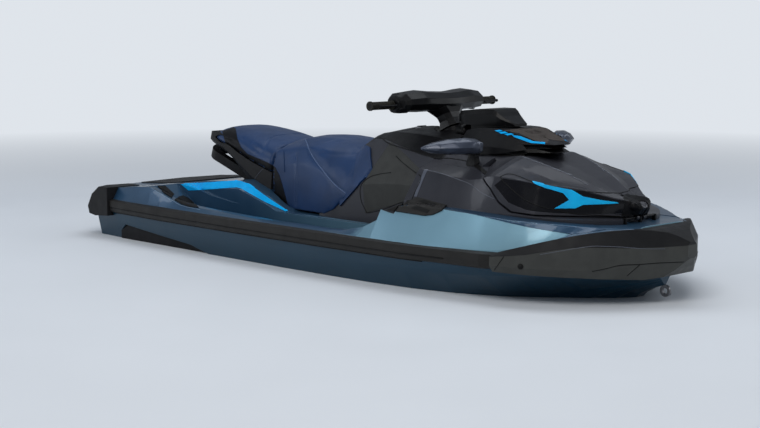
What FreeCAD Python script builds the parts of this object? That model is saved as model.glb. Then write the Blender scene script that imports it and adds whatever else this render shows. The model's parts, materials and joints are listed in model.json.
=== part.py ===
import FreeCAD, Part
import math
import os

os.makedirs("parts", exist_ok=True)
V = FreeCAD.Vector

# Personal watercraft, millimetres. +X bow, +Y port, +Z up.
# The origin is on the centreline at the waterline, half way along the hull.

# Driving dimensions of hull and deck
hull_half_length = 1600
hull_half_beam = 600
keel_depth = 334
join_height = 166
pad_half_width = 95
strake_depth = 12
chine_lip = 22
flange_drop = 34
bumper_length = 1725
deck_wall = 8
overrun = 40
fit_gap = 0.3
moving_gap = 5
pin_gap = 0.05

# Gunwale band, bow bumper and stern corners
band_height = 68
band_thickness = 25
band_aft = 1440
band_fore = 1165
bumper_half_width = 578
bumper_top = 310
corner_reach = 1712
corner_outer = 604
corner_inner = 400
corner_height = 262
corner_foot = 108

# Deck, footwells and pedestal
gunwale_height = 215
platform_height = 285
foredeck_height = 330
deck_aft = 1640
well_floor = 20
well_inner = 335
well_outer = 530
well_aft = 1209
well_fore = 600
mat_thickness = 6
mat_margin = 18
pedestal_height = 334

# Upper body: waist between the knees and the wide front
waist_aft = 160
waist_fore = 900
waist_half_width = 320
waist_height = 645
front_aft = 560
front_fore = 1478
front_half_width = 440
front_height = 640
panel_thickness = 14
lens_thickness = 12
accent_thickness = 3

# Seat
seat_half_width = 285
seat_top = 586
seat_foot = 215
front_seat_aft = 560
front_seat_fore = 72
rear_seat_aft = 1126
shell_aft = 1180
shell_half_width = 235

# Grab handle
handle_aft = 1200
handle_root = 800
handle_half_width = 172
handle_width = 36
handle_corner = 110
handle_thickness = 46
handle_low = 330
handle_high = 462

# Hood, scoop, gauge and hinge
hood_opening_height = 500
hood_aft = 585
hood_centre_half_width = 212
hinge_x = 1470
hinge_z = 325
hinge_pin_radius = 5
hinge_lug_radius = 11
hinge_lug_width = 40
hinge_lug_spacing = 110
scoop_aft = 640
scoop_fore = 1110
scoop_half_width = 205
scoop_height = 656
scoop_root = 512
scoop_mouth = 866
scoop_mouth_half_width = 128
scoop_mouth_top = 596
gauge_aft = 560
gauge_fore = 835
gauge_half_width = 125
gauge_top = 734
gauge_base = 662
screen_thickness = 4
screen_margin = 14

# Glovebox
glove_aft = 60
glove_fore = 240
glove_half_width = 105
glove_floor = 470
glove_lid_thickness = 45
glove_swing_gap = 10
glove_hinge_radius = 4
glove_knuckle_radius = 8
glove_knuckle_width = 50

# Storage bin under the hood
bin_aft = 880
bin_fore = 1290
bin_half_width = 180
bin_floor = 172
bin_wall = 5

# Mirrors
mirror_root_x = 815
mirror_root_y = 262
mirror_root_z = 590
mirror_sweep = 115
mirror_span = 215
mirror_chord = 130
mirror_height = 62
mirror_glass_thickness = 3
mirror_foot_length = 72
mirror_foot_width = 40
mirror_foot_height = 92

# Steering
column_x = 440
column_z = 622
column_tilt = 25
neck_length = 130
neck_base_length = 118
neck_base_width = 110
neck_top_length = 112
neck_top_width = 250
neck_ring_height = 10
bar_radius = 11
bar_x = 350
bar_z = 752
grip_x = 314
grip_z = 743
grip_inner = 268
grip_outer = 406
grip_radius = 18
grip_end_radius = 21
grip_end_length = 8
cover_half_width = 256
cover_length = 176
cover_height = 98
pod_inner = 208
pod_outer = 262
pod_radius = 40
lever_radius = 5
lever_reach = 52
lever_length = 120

# Jet pump
pump_axis_z = -190
pump_bore_radius = 78
pump_outer_radius = 92
pump_fore = 1150
pump_aft = 1330
venturi_aft = 1436
venturi_bore_radius = 50
venturi_wall = 8
venturi_straight = 60
hub_radius = 34
hub_tail_radius = 10
stator_count = 8
stator_fore = 1262
stator_thickness = 4
stator_twist = 24
impeller_fore = 1165
impeller_aft = 1245
impeller_blade_count = 4
impeller_blade_thickness = 4
impeller_twist = 75
shaft_radius = 14
shaft_fore = 640
nozzle_pivot_x = 1420
nozzle_aft = 1530
nozzle_bore_radius = 47
nozzle_wall = 7
nozzle_sleeve_radius = 78
nozzle_sleeve_fore = 14
nozzle_pin_radius = 7
bucket_pivot_x = 1345
bucket_inner_radius = 204
bucket_wall = 7
bucket_half_width = 112
bucket_start_angle = 32
bucket_end_angle = 84
bucket_pin_radius = 9
bucket_hub_radius = 20
tunnel_half_width = 150
tunnel_height = 30
plate_thickness = 9
plate_margin = 1
intake_fore = 640
intake_aft = 1030
intake_half_width = 82
grate_bar_width = 9
grate_bar_depth = 26
grate_bar_count = 3

# Engine block
engine_aft = 330
engine_length = 660
engine_half_width = 190
engine_floor = 215
engine_top = 150
engine_clearance = 6

# Stern step, eyes, plugs and mats
step_pivot_x = 1622
step_pivot_z = -60
step_arm = 205
step_half_width = 185
step_bar_radius = 12
step_tread_depth = 60
step_tread_thickness = 14
step_lug_width = 16
step_lug_radius = 20
step_pin_radius = 6
eye_outer_radius = 24
eye_hole_radius = 12
eye_thickness = 10
eye_stand_off = 16
bow_eye_z = 55
stern_eye_y = 330
stern_eye_z = 95
plug_radius = 19
plug_height = 9
plug_y = 235
plug_z = -150
deck_mat_thickness = 5
deck_mat_half_width = 275
deck_mat_aft = 1600
deck_mat_fore = 1240

# Sponsons and vents
sponson_aft = 1390
sponson_fore = 600
sponson_top = 77
sponson_foot = 110
sponson_depth = 36
sponson_wall = 4
vent_thickness = 10
slot_height = 13
slot_length = 46
slot_depth = 7

# Shares: station along half length, chine half breadth, chine height, flange half breadth, keel height.
# Heights below the waterline are shares of keel_depth, heights above it are shares of join_height.
hull_shares = (
    (-1.0, 0.83, -0.22, 0.93, -1.0),
    (-0.62, 0.867, -0.27, 0.985, -1.0),
    (-0.25, 0.875, -0.285, 1.0, -1.0),
    (0.125, 0.867, -0.27, 1.0, -1.0),
    (0.4375, 0.80, -0.21, 0.985, -0.98),
    (0.6875, 0.60, -0.06, 0.90, -0.80),
    (0.84375, 0.36, 0.20, 0.70, -0.35),
    (0.9375, 0.21, 0.38, 0.47, 0.12),
    (1.0, 0.05, 0.56, 0.20, 0.38),
)
strake_shares = (0.44, 0.50, 0.74, 0.79)

# Shares of the deck: station, flange half breadth, crest half breadth, crest height, middle height.
# Heights are shares of gunwale_height.
deck_shares = (
    (-1.0, 0.90, 0.84, 1.14, 1.18),
    (-0.86, 0.955, 0.90, 1.22, 1.24),
    (-0.70, 0.978, 0.93, 1.33, 1.33),
    (-0.57, 0.988, 0.945, 1.09, 1.20),
    (-0.36, 0.998, 0.955, 1.0, 1.0),
    (0.12, 1.0, 0.955, 0.955, 0.96),
    (0.27, 0.998, 0.93, 1.10, 1.15),
    (0.36, 0.992, 0.85, 1.50, 1.50),
)

# Shares of the foredeck: station, half breadth, edge height, crease half breadth, crease height.
# Heights are shares of foredeck_height.
foredeck_shares = (
    (0.32, 0.995, 0.61, 0.87, 1.0),
    (0.45, 0.985, 0.61, 0.82, 1.04),
    (0.60, 0.93, 0.61, 0.80, 1.02),
    (0.73, 0.84, 0.63, 0.77, 0.985),
    (0.84, 0.69, 0.77, 0.60, 0.95),
    (0.92, 0.52, 0.87, 0.42, 0.92),
    (0.985, 0.28, 0.91, 0.18, 0.93),
)

# Shares of the upper front: station from front_aft to front_fore, then four half breadths and five heights
# of the creases from the foredeck up to the centreline.
front_shares = (
    (0.0, (1.0, 0.784, 0.557, 0.30), (0.55, 0.753, 0.806, 0.905, 0.984)),
    (0.28, (0.966, 0.80, 0.664, 0.432), (0.535, 0.716, 0.79, 0.865, 0.905)),
    (0.37, (0.95, 0.812, 0.67, 0.42), (0.53, 0.72, 0.81, 0.872, 0.905)),
    (0.48, (0.92, 0.814, 0.564, 0.364), (0.525, 0.758, 0.893, 0.897, 0.90)),
    (0.70, (0.83, 0.705, 0.482, 0.295), (0.519, 0.728, 0.806, 0.836, 0.848)),
    (0.86, (0.655, 0.54, 0.386, 0.227), (0.5125, 0.695, 0.722, 0.741, 0.753)),
    (0.965, (0.39, 0.325, 0.235, 0.136), (0.5125, 0.644, 0.657, 0.667, 0.675)),
    (1.0, (0.20, 0.175, 0.125, 0.068), (0.515, 0.586, 0.597, 0.603, 0.609)),
)

# Shares of the waist: station, four half breadths and five heights.
waist_shares = (
    (0.0, (0.875, 0.81, 0.47, 0.25), (0.32, 0.42, 0.59, 0.713, 0.765)),
    (0.12, (0.92, 0.88, 0.53, 0.31), (0.32, 0.50, 0.74, 0.83, 0.868)),
    (0.26, (0.953, 0.92, 0.575, 0.375), (0.32, 0.574, 0.892, 0.93, 0.949)),
    (0.44, (0.969, 0.95, 0.65, 0.44), (0.32, 0.612, 0.857, 0.946, 0.988)),
    (0.62, (0.984, 0.969, 0.737, 0.47), (0.32, 0.62, 0.812, 0.93, 0.984)),
    (1.0, (1.0, 1.0, 0.78, 0.50), (0.32, 0.62, 0.775, 0.87, 0.93)),
)


def lerp(a, b, t):
    return a + (b - a) * t


def section_wire(x, half):
    """Closed outline across the boat from its starboard half, given from the centre bottom to the centre top."""
    starboard = [V(x, -y, z) for y, z in half]
    port = [V(x, y, z) for y, z in reversed(half) if y > 0]
    return Part.makePolygon(starboard + port + starboard[:1])


def hermite(start, end, start_slope, end_slope, t):
    """Value on a cubic with given ends and end slopes."""
    rise = t * t * (3 - 2 * t)
    return lerp(start, end, rise) + start_slope * t * (1 - t) ** 2 - end_slope * t * t * (1 - t)


def refine(sections, steps):
    """Add sections between those given, each point on a smooth curve along the boat."""
    last = len(sections) - 1
    slopes = []
    for index in range(last + 1):
        aft, aft_half = sections[max(index - 1, 0)]
        fore, fore_half = sections[min(index + 1, last)]
        slopes.append([[(q[k] - p[k]) / (fore - aft) for k in (0, 1)] for p, q in zip(aft_half, fore_half)])
    fine = [sections[0]]
    for index in range(last):
        x0, half0 = sections[index]
        x1, half1 = sections[index + 1]
        run = x1 - x0
        for step in range(1, steps + 1):
            t = step / steps
            half = []
            for p, q, m, n in zip(half0, half1, slopes[index], slopes[index + 1]):
                half.append(tuple(hermite(p[k], q[k], m[k] * run, n[k] * run, t) for k in (0, 1)))
            fine.append((lerp(x0, x1, t), half))
    return fine


def rounded(half, steps):
    """Half outline with its middle points on a smooth curve."""
    points = [(-half[1][0], half[1][1])] + list(half) + [(-half[-2][0], half[-2][1])]
    fine = [half[0]]
    for index in range(1, len(points) - 2):
        a, b, c, d = points[index - 1:index + 3]
        for step in range(1, steps + 1):
            t = step / steps
            fine.append(tuple(hermite(b[k], c[k], (c[k] - a[k]) / 2, (d[k] - b[k]) / 2, t) for k in (0, 1)))
    return fine


def body_loft(sections, steps=1):
    """Body of straight-ruled faces through the sections, with steps of smooth sections between them."""
    return Part.makeLoft([section_wire(x, half) for x, half in refine(sections, steps)], True, True)


def side_prism(outline, y0, y1):
    """Outline in x and z, carried from y0 to y1."""
    points = [V(x, y0, z) for x, z in outline]
    face = Part.Face(Part.makePolygon(points + points[:1]))
    return face.extrude(V(0, y1 - y0, 0))


def block(x0, x1, y0, y1, z0, z1):
    return Part.makeBox(x1 - x0, y1 - y0, z1 - z0, V(x0, y0, z0))


def mirrored(shape):
    return shape.mirror(V(0, 0, 0), V(0, 1, 0))


def pair(shape):
    return [shape, mirrored(shape)]


def rod(start, end, radius):
    way = end.sub(start)
    return Part.makeCylinder(radius, way.Length, start, way)


def largest(shape):
    return max(shape.Solids, key=lambda solid: solid.Volume)


def save(name, shapes):
    solids = []
    for shape in shapes:
        solids += shape.Solids
    result = solids[0] if len(solids) == 1 else Part.makeCompound(solids)
    result.exportStep("parts/" + name + ".step")
    print(name, len(solids), "solids", "valid" if result.isValid() else "NOT VALID")


# Hull

def hull_height(share):
    return share * (keel_depth if share < 0 else join_height)


def hull_half_section(row):
    station, chine_y, chine_z, flange_y, keel_z = row
    yc = chine_y * hull_half_beam
    zc = hull_height(chine_z)
    zk = hull_height(keel_z)
    yf = flange_y * hull_half_beam
    pad = min(pad_half_width, yc * pad_half_width / (hull_half_beam - pad_half_width))
    fade = chine_y / hull_shares[2][1]
    points = [(0, zk), (pad, zk)]
    for index, share in enumerate(strake_shares):
        drop = strake_depth * fade * (index % 2)
        points.append((lerp(pad, yc, share), lerp(zk, zc, share) - drop))
    points += [(yc, zc - strake_depth * fade), (yc + chine_lip * fade, zc + chine_lip * fade / 2)]
    zf = join_height - flange_drop
    points += [(lerp(yc, yf, 0.9), lerp(zc, zf, 0.8)), (yf, zf), (yf, join_height), (0, join_height)]
    return points


def hull_body():
    return body_loft([(row[0] * hull_half_length, hull_half_section(row)) for row in hull_shares], 2)


def pump_tunnel():
    floor = -keel_depth - overrun
    outline = [
        (-hull_half_length - overrun, floor),
        (-pump_fore, floor),
        (-pump_fore, tunnel_height - pump_outer_radius),
        (-pump_aft, tunnel_height),
        (-hull_half_length - overrun, tunnel_height),
    ]
    return side_prism(outline, -tunnel_half_width, tunnel_half_width)


def intake_duct():
    """Passage from the bottom opening up to the pump's mouth."""
    sides = 16
    mouth = []
    opening = []
    for index in range(sides):
        angle = 2 * math.pi * (index + 0.5) / sides
        c = math.cos(angle)
        s = math.sin(angle)
        edge = max(abs(c), abs(s))
        mouth.append(V(-pump_fore - deck_wall, pump_bore_radius * c, pump_axis_z + pump_bore_radius * s))
        x = lerp(-intake_aft, -intake_fore, (s / edge + 1) / 2)
        opening.append(V(x, intake_half_width * c / edge, -keel_depth - plate_margin))
    wires = [Part.makePolygon(ring + ring[:1]) for ring in (mouth, opening)]
    return Part.makeLoft(wires, True, True)


def sponson_outline(grow):
    top = sponson_top + grow
    foot = -sponson_foot - grow
    length = sponson_aft - sponson_fore
    return [
        (-sponson_aft - grow, foot),
        (-sponson_aft - grow, top - (sponson_top / 2)),
        (-sponson_aft + length * 0.07, top),
        (-sponson_fore - length * 0.22, top - sponson_top * 0.58),
        (-sponson_fore - length * 0.05, top - sponson_top),
        (-sponson_fore + grow, foot),
    ]


def sponson_inner():
    """Half breadths of the recess's floor: beside the footwell, and below it."""
    beside = well_outer + deck_wall + sponson_wall
    return beside, beside - sponson_depth


def sponson_form(outline, outer):
    """Outline carried inward to the recess's floor, deeper below the footwell."""
    beside, below = sponson_inner()
    shallow = side_prism(outline, -outer, -beside)
    deep = side_prism(outline, -outer, -below)
    level = well_floor - deck_wall - sponson_wall
    return shallow.fuse(deep.common(block(-hull_half_length, 0, -outer, 0, -keel_depth, level)))


def sponson_recess():
    return sponson_form(sponson_outline(fit_gap), hull_half_beam + overrun)


def engine_bay():
    c = engine_clearance
    return block(-engine_aft - c, engine_length - engine_aft + c, -engine_half_width - c, engine_half_width + c,
                 -engine_floor, join_height)


def shaft_bore():
    start = V(-pump_fore - overrun, 0, pump_axis_z)
    end = V(-shaft_fore + moving_gap, 0, pump_axis_z)
    return rod(start, end, shaft_radius + moving_gap)


# Deck

def well_outline(grow):
    """Footwell seen from the side, grown outward for the wall of the deck."""
    floor = well_floor - grow
    ramp = deck_aft - well_aft
    top = foredeck_height + overrun * 2
    return [
        (-well_aft - grow, top),
        (-well_aft - grow, platform_height - grow),
        (-well_aft + ramp * 0.45 - grow, platform_height * 0.61 - grow),
        (-well_aft + ramp * 0.62 - grow, floor),
        (well_fore * 0.72 + grow, floor),
        (well_fore * 0.88 + grow, join_height - grow),
        (well_fore + grow, foredeck_height - grow),
        (well_fore + grow, top),
    ]


def well_space(grow):
    return side_prism(well_outline(grow), -well_outer - grow, -well_inner + grow)


def deck_upper():
    sections = []
    for station, flange_y, crest_y, crest_z, middle_z in deck_shares:
        x = station * hull_half_length
        if station == deck_shares[0][0]:
            x = -deck_aft
        yf = flange_y * hull_half_beam
        crest = (crest_y * hull_half_beam, crest_z * gunwale_height)
        edge = join_height + flange_drop
        middle = middle_z * gunwale_height
        half = [(0, join_height), (yf, join_height), (yf, edge), crest, (crest[0] * 0.95, crest[1]), (0, middle)]
        sections.append((x, half))
    return body_loft(sections, 2)


def foredeck(inset=0):
    sections = []
    for station, edge_y, edge_z, crease_y, crease_z in foredeck_shares:
        x = station * hull_half_length
        yf = edge_y * hull_half_beam - inset
        crease = (crease_y * hull_half_beam - inset, crease_z * foredeck_height - inset)
        half = [(0, join_height), (yf, join_height), (yf, edge_z * foredeck_height - inset), crease,
                (crease[0] * 0.8, crease[1]), (0, crease[1])]
        sections.append((x, half))
    return body_loft(sections, 2)


def pedestal():
    rows = (
        (-well_aft, 0.86, 0.83),
        (-well_aft * 0.83, 0.95, 0.92),
        (-well_aft * 0.57, 1.0, 1.0),
        (-front_seat_aft * 0.85, 1.0, 0.80),
        (-front_seat_aft * 0.6, 1.0, 0.62),
        (-waist_aft, 1.0, 0.62),
        (waist_fore * 0.65, 1.0, 0.62),
    )
    sections = []
    for x, width, height in rows:
        y = width * well_inner
        top = height * pedestal_height
        half = [(0, join_height), (y, join_height), (y, top * 0.88), (y * 0.93, top), (0, top)]
        sections.append((x, half))
    return body_loft(sections)


# Upper body

def front_body(inset=0):
    sections = []
    for station, widths, heights in front_shares:
        x = lerp(front_aft, front_fore - inset, station)
        points = [(0, foredeck_height * 0.9)]
        for y_share, z_share in zip(widths + (0,), heights):
            y = max(y_share * front_half_width - inset, y_share * abs(inset))
            points.append((y, z_share * front_height - (inset if y_share < widths[1] else 0)))
        points.insert(1, (points[1][0], foredeck_height * 0.9))
        sections.append((x, points))
    return body_loft(sections, 3)


def waist_body(inset=0):
    sections = []
    for station, widths, heights in waist_shares:
        x = lerp(-waist_aft, waist_fore, station)
        points = [(0, heights[0] * waist_height)]
        for y_share, z_share in zip(widths + (0,), heights):
            y = max(y_share * waist_half_width - inset, y_share * abs(inset))
            points.append((y, z_share * waist_height - (inset if z_share > heights[1] else 0)))
        sections.append((x, points))
    return body_loft(sections, 3)


def front_point(x_share, z_share):
    return (lerp(front_aft, front_fore, x_share), z_share * front_height)


def outline_of(shares):
    return [front_point(x, z) for x, z in shares]


# Shares of the front's length and height, for outlines seen from the side
hood_side_shares = ((0.36, 1.2), (0.355, 0.80), (0.475, 0.68), (0.53, 0.60), (0.60, 0.545), (0.72, 0.53),
                    (1.05, 0.512), (1.05, 1.2))
panel_shares = ((0.02, 0.56), (0.06, 0.75), (0.075, 0.785), (0.33, 0.775), (0.345, 0.79), (0.455, 0.675),
                (0.52, 0.592), (0.60, 0.535), (0.83, 0.525), (0.65, 0.50), (0.02, 0.50))
lens_shares = ((0.49, 0.70), (0.525, 0.748), (0.60, 0.74), (0.70, 0.722), (0.80, 0.70), (0.88, 0.683),
               (0.955, 0.645), (0.985, 0.60), (0.975, 0.55), (0.90, 0.538), (0.77, 0.542), (0.66, 0.56),
               (0.575, 0.60))
accent_shares = ((0.60, 0.722), (0.725, 0.698), (0.79, 0.668), (0.83, 0.655), (0.935, 0.628), (0.93, 0.615),
                 (0.80, 0.612), (0.765, 0.578), (0.70, 0.568), (0.755, 0.625), (0.75, 0.655))


def hood_space(grow):
    """Space of the hood: the whole front ahead of its slanted gap, and the middle behind it."""
    outline = []
    for x, z in outline_of(hood_side_shares):
        outline.append((x - grow if x < hinge_x else x, z - (0 if z > front_height else grow)))
    fore = side_prism(outline, -front_half_width - overrun, front_half_width + overrun)
    half = hood_centre_half_width + grow
    aft = block(hood_aft - grow, lerp(front_aft, front_fore, 0.40), -half, half,
                hood_opening_height - grow, front_height + overrun * 4)
    return fore.fuse(aft)


# Seat

def cushion(rows):
    """Crowned form with rounded sections; rows give x, half width, foot and top."""
    sections = []
    for x, width, foot, top in rows:
        height = top - foot
        half = [(0, foot), (width * 0.85, foot), (width, foot + height * 0.12), (width * 0.97, foot + height * 0.46),
                (width * 0.84, foot + height * 0.74), (width * 0.52, foot + height * 0.95), (0, top)]
        sections.append((x, rounded(half, 2)))
    return body_loft(sections, 3)


def front_cushion():
    rows = []
    shares = ((0.0, 0.84, 0.0, 0.82), (0.18, 0.94, 0.0, 0.92), (0.40, 1.0, 0.0, 0.955), (0.61, 0.97, 0.03, 0.925),
              (0.77, 0.91, 0.21, 0.87), (0.90, 0.82, 0.38, 0.80), (1.0, 0.66, 0.55, 0.735))
    for station, width, foot, top in shares:
        x = lerp(-front_seat_aft, front_seat_fore, station)
        rise = seat_top - seat_foot
        rows.append((x, width * seat_half_width, seat_foot + foot * rise, seat_foot + top * rise))
    return cushion(rows)


def rear_cushion():
    rows = []
    shares = ((0.0, 0.54, 0.80, 0.915), (0.1, 0.62, 0.77, 0.97), (0.25, 0.70, 0.72, 1.0), (0.62, 0.79, 0.57, 0.94),
              (1.0, 0.84, 0.42, 0.83))
    for station, width, foot, top in shares:
        x = lerp(-rear_seat_aft, -front_seat_aft - fit_gap, station)
        rise = seat_top - seat_foot
        rows.append((x, width * seat_half_width, seat_foot + foot * rise, seat_foot + top * rise))
    return cushion(rows)


def seat_shell():
    rise = seat_top - seat_foot
    shares = ((0.0, 0.50, 0.76, 0.87), (0.06, 0.66, 0.745, 0.90), (0.22, 0.80, 0.69, 0.90), (0.42, 0.92, 0.58, 0.82),
              (0.72, 0.99, 0.25, 0.70), (1.0, 1.02, 0.03, 0.56))
    sections = []
    for station, width, foot, top in shares:
        x = lerp(-shell_aft, -front_seat_aft - fit_gap, station)
        y = width * shell_half_width
        z0 = seat_foot + foot * rise
        z1 = seat_foot + top * rise
        half = [(0, z0), (y * 0.9, z0), (y, lerp(z0, z1, 0.3)), (y * 0.94, z1), (0, z1)]
        sections.append((x, half))
    return body_loft(sections, 3)


def grab_handle():
    """Loop behind the seat, cut from a slanted plate."""
    length = handle_aft - handle_root
    rise = handle_high - handle_low
    outer = rounded_plate(handle_root, handle_aft, handle_half_width, handle_corner)
    inner = rounded_plate(handle_root - overrun, handle_aft - handle_width, handle_half_width - handle_width,
                          handle_corner - handle_width)
    loop = outer.cut(inner)
    loop.translate(V(handle_root, 0, 0))
    loop.rotate(V(0, 0, 0), V(0, 1, 0), math.degrees(math.atan2(rise, length)))
    loop.translate(V(-handle_root, 0, handle_low))
    return loop


def rounded_plate(x0, x1, half_width, radius):
    plate = block(-x1, -x0, -half_width, half_width, -handle_thickness / 2, handle_thickness / 2)
    corners = [edge for edge in plate.Edges
               if abs(edge.CenterOfMass.z) < fit_gap and abs(edge.CenterOfMass.x + x1) < fit_gap
               and abs(abs(edge.CenterOfMass.y) - half_width) < fit_gap]
    return plate.makeFillet(radius, corners)


# Hood fittings

def scoop():
    """Flat-topped middle of the hood that tapers forward over its air mouth."""
    length = scoop_fore - scoop_aft
    rise = scoop_height - scoop_root
    rows = ((0.0, 0.96, 0.90), (0.12, 1.0, 0.97), (0.30, 1.0, 1.0), (0.51, 0.93, 0.95), (0.75, 0.66, 0.70),
            (1.0, 0.26, 0.52))
    sections = []
    for station, width, height in rows:
        x = scoop_aft + station * length
        y = width * scoop_half_width
        top = scoop_root + height * rise
        half = [(0, scoop_root), (y, scoop_root), (y * 0.97, lerp(scoop_root, top, 0.50)), (y * 0.66, top), (0, top)]
        sections.append((x, half))
    body = body_loft(sections, 2)
    mouth = block(scoop_mouth, scoop_fore + overrun, -scoop_mouth_half_width, scoop_mouth_half_width,
                  scoop_root - overrun, scoop_mouth_top)
    return largest(body.cut(mouth))


def gauge_pod():
    length = gauge_fore - gauge_aft
    rise = gauge_top - gauge_base
    rows = ((0.0, 0.86, 0.82), (0.12, 1.0, 0.88), (0.66, 1.0, 1.0), (0.80, 0.92, 0.60), (1.0, 0.60, 0.16))
    sections = []
    for station, width, height in rows:
        x = gauge_aft + station * length
        y = width * gauge_half_width
        top = gauge_base + height * rise
        half = [(0, gauge_base), (y * 0.9, gauge_base), (y, lerp(gauge_base, top, 0.7)), (y * 0.9, top), (0, top)]
        sections.append((x, half))
    body = body_loft(sections, 2)
    return body.fuse(gauge_foot())


def gauge_foot():
    """Plinth under the pod, down into the hood."""
    width = gauge_half_width * 0.6
    return block(gauge_aft + overrun, gauge_fore - overrun, -width, width, hood_opening_height + overrun, gauge_base)


def gauge_screen():
    rise = gauge_top - gauge_base
    half = gauge_half_width * 0.86 - screen_margin
    return block(gauge_aft - screen_thickness, gauge_aft, -half, half,
                 gauge_base + screen_margin, gauge_base + rise * 0.82 - screen_margin)


def hood_lug(y):
    start = V(hinge_x, y - hinge_lug_width / 2, hinge_z)
    barrel = rod(start, start.add(V(0, hinge_lug_width, 0)), hinge_lug_radius)
    root = block(hinge_x - hinge_lug_radius * 2, hinge_x, y - hinge_lug_width / 2, y + hinge_lug_width / 2,
                 hinge_z, hinge_z + hinge_lug_radius * 2.4)
    return barrel.fuse(root)


def hood_hinge():
    """Bracket with a pin, carried on the foredeck; the hood's lugs turn on it."""
    reach = hinge_lug_spacing / 2 + hinge_lug_width + moving_gap
    pin = rod(V(hinge_x, -reach, hinge_z), V(hinge_x, reach, hinge_z), hinge_pin_radius)
    for y in (-reach, 0, reach):
        post = block(hinge_x - hinge_pin_radius * 1.4, hinge_x + hinge_pin_radius * 1.4, y - hinge_pin_radius,
                     y + hinge_pin_radius, hinge_z - hinge_lug_radius * 3, hinge_z + hinge_pin_radius)
        pin = pin.fuse(post)
    return pin


def hood_lug_bore():
    reach = front_half_width
    return rod(V(hinge_x, -reach, hinge_z), V(hinge_x, reach, hinge_z), hinge_pin_radius + pin_gap)


def mirror_pod():
    """Swept-back leaf with its glass on the aft face."""
    rows = ((0.0, 0.62, 0.66), (0.10, 0.86, 0.88), (0.30, 1.0, 1.0), (0.55, 0.90, 0.88), (0.80, 0.58, 0.56),
            (0.95, 0.26, 0.26), (1.0, 0.10, 0.12))
    outline = ((-0.32, -0.20), (-0.30, 0.26), (-0.10, 0.46), (0.20, 0.50), (0.48, 0.34), (0.66, 0.04), (0.50, -0.24),
               (0.20, -0.44), (-0.12, -0.48))
    wires = []
    for station, chord_share, height_share in rows:
        y = -(mirror_root_y + station * mirror_span)
        x = mirror_root_x - station * mirror_sweep
        chord = chord_share * mirror_chord
        height = height_share * mirror_height
        ring = [V(x + chord * along, y, mirror_root_z + height * up) for along, up in outline]
        wires.append(Part.makePolygon(ring + ring[:1]))
    return Part.makeLoft(wires, True, True)


def mirror_glass_space():
    chord = mirror_chord * 0.3
    y0 = -(mirror_root_y + mirror_span * 0.06)
    y1 = -(mirror_root_y + mirror_span * 0.72)
    outline = []
    for y, share in ((y0, 0.06), (y1, 0.72)):
        outline.append((mirror_root_x - share * mirror_sweep - chord, y))
    low = mirror_root_z - mirror_height * 0.30
    points = [V(outline[0][0], y0, low), V(outline[1][0], y1, low)]
    points += [p.add(V(mirror_glass_thickness * 3, 0, 0)) for p in reversed(points)]
    face = Part.Face(Part.makePolygon(points + points[:1]))
    return face.extrude(V(0, 0, mirror_height * 0.62))


def mirror_foot():
    """Tapered stalk from the shoulder of the console up into the mirror's root."""
    wires = []
    for height, length_share, out_share in ((-mirror_foot_height, 1.0, 1.0), (-mirror_foot_height * 0.45, 0.62, 0.62),
                                            (0, 0.42, 0.5)):
        y = -mirror_root_y - mirror_foot_width * 0.25
        half = mirror_foot_width * out_share / 2
        reach = mirror_foot_length * length_share
        z = mirror_root_z + height
        ring = [V(mirror_root_x - reach, y - half * 0.4, z), V(mirror_root_x - reach * 0.5, y - half, z),
                V(mirror_root_x + reach * 0.6, y - half, z), V(mirror_root_x + reach, y - half * 0.2, z),
                V(mirror_root_x + reach * 0.6, y + half, z), V(mirror_root_x - reach * 0.6, y + half, z)]
        wires.append(Part.makePolygon(ring + ring[:1]))
    return Part.makeLoft(wires, True, True)


# Glovebox

def glove_top(x):
    rows = [(lerp(-waist_aft, waist_fore, row[0]), row[2][4]) for row in waist_shares]
    for (x0, z0), (x1, z1) in zip(rows, rows[1:]):
        if x0 <= x <= x1:
            return waist_height * lerp(z0, z1, (x - x0) / (x1 - x0))
    return waist_height * rows[-1][1]


def glovebox_pieces(lid):
    """Lid with its knuckle, and the pin in two posts that it turns on."""
    z = glove_top(glove_fore)
    reach = glove_knuckle_width / 2
    axis = rod(V(glove_fore, -glove_half_width, z), V(glove_fore, glove_half_width, z), glove_knuckle_radius + moving_gap)
    barrel = rod(V(glove_fore, -reach, z), V(glove_fore, reach, z), glove_knuckle_radius)
    web = block(glove_fore - glove_knuckle_radius * 3, glove_fore, -reach, reach, z - glove_knuckle_radius, z)
    bore = rod(V(glove_fore, -reach - overrun, z), V(glove_fore, reach + overrun, z), glove_hinge_radius + pin_gap)
    lid = largest(lid.cut(axis).fuse([barrel, web]).cut(bore))
    reach += moving_gap + glove_knuckle_radius
    pin = rod(V(glove_fore, -reach, z), V(glove_fore, reach, z), glove_hinge_radius)
    for side in (-1, 1):
        y = side * (reach - glove_knuckle_radius / 2)
        half = glove_knuckle_radius / 2
        head = block(glove_fore - glove_hinge_radius, glove_fore + glove_knuckle_radius * 4, y - half, y + half,
                     z - glove_hinge_radius, z + glove_hinge_radius)
        post = block(glove_fore + moving_gap * 2, glove_fore + glove_knuckle_radius * 4, y - half, y + half,
                     z - glove_knuckle_radius * 4, z)
        pin = pin.fuse([head, post])
    return lid, pin


# Storage bin

def bin_space(grow):
    half = bin_half_width + grow
    return block(bin_aft - grow, bin_fore + grow, -half, half, bin_floor - grow, foredeck_height + overrun / 2)


def storage_bin():
    body = block(bin_aft, bin_fore, -bin_half_width, bin_half_width, bin_floor, foredeck_height)
    inside = block(bin_aft + bin_wall, bin_fore - bin_wall, bin_wall - bin_half_width, bin_half_width - bin_wall,
                   bin_floor + bin_wall, foredeck_height + overrun)
    return body.cut(inside)


# Steering

def column_axis():
    tilt = math.radians(column_tilt)
    return V(-math.sin(tilt), 0, math.cos(tilt))


def column_point(height):
    return V(column_x, 0, column_z).add(column_axis() * height)


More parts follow.
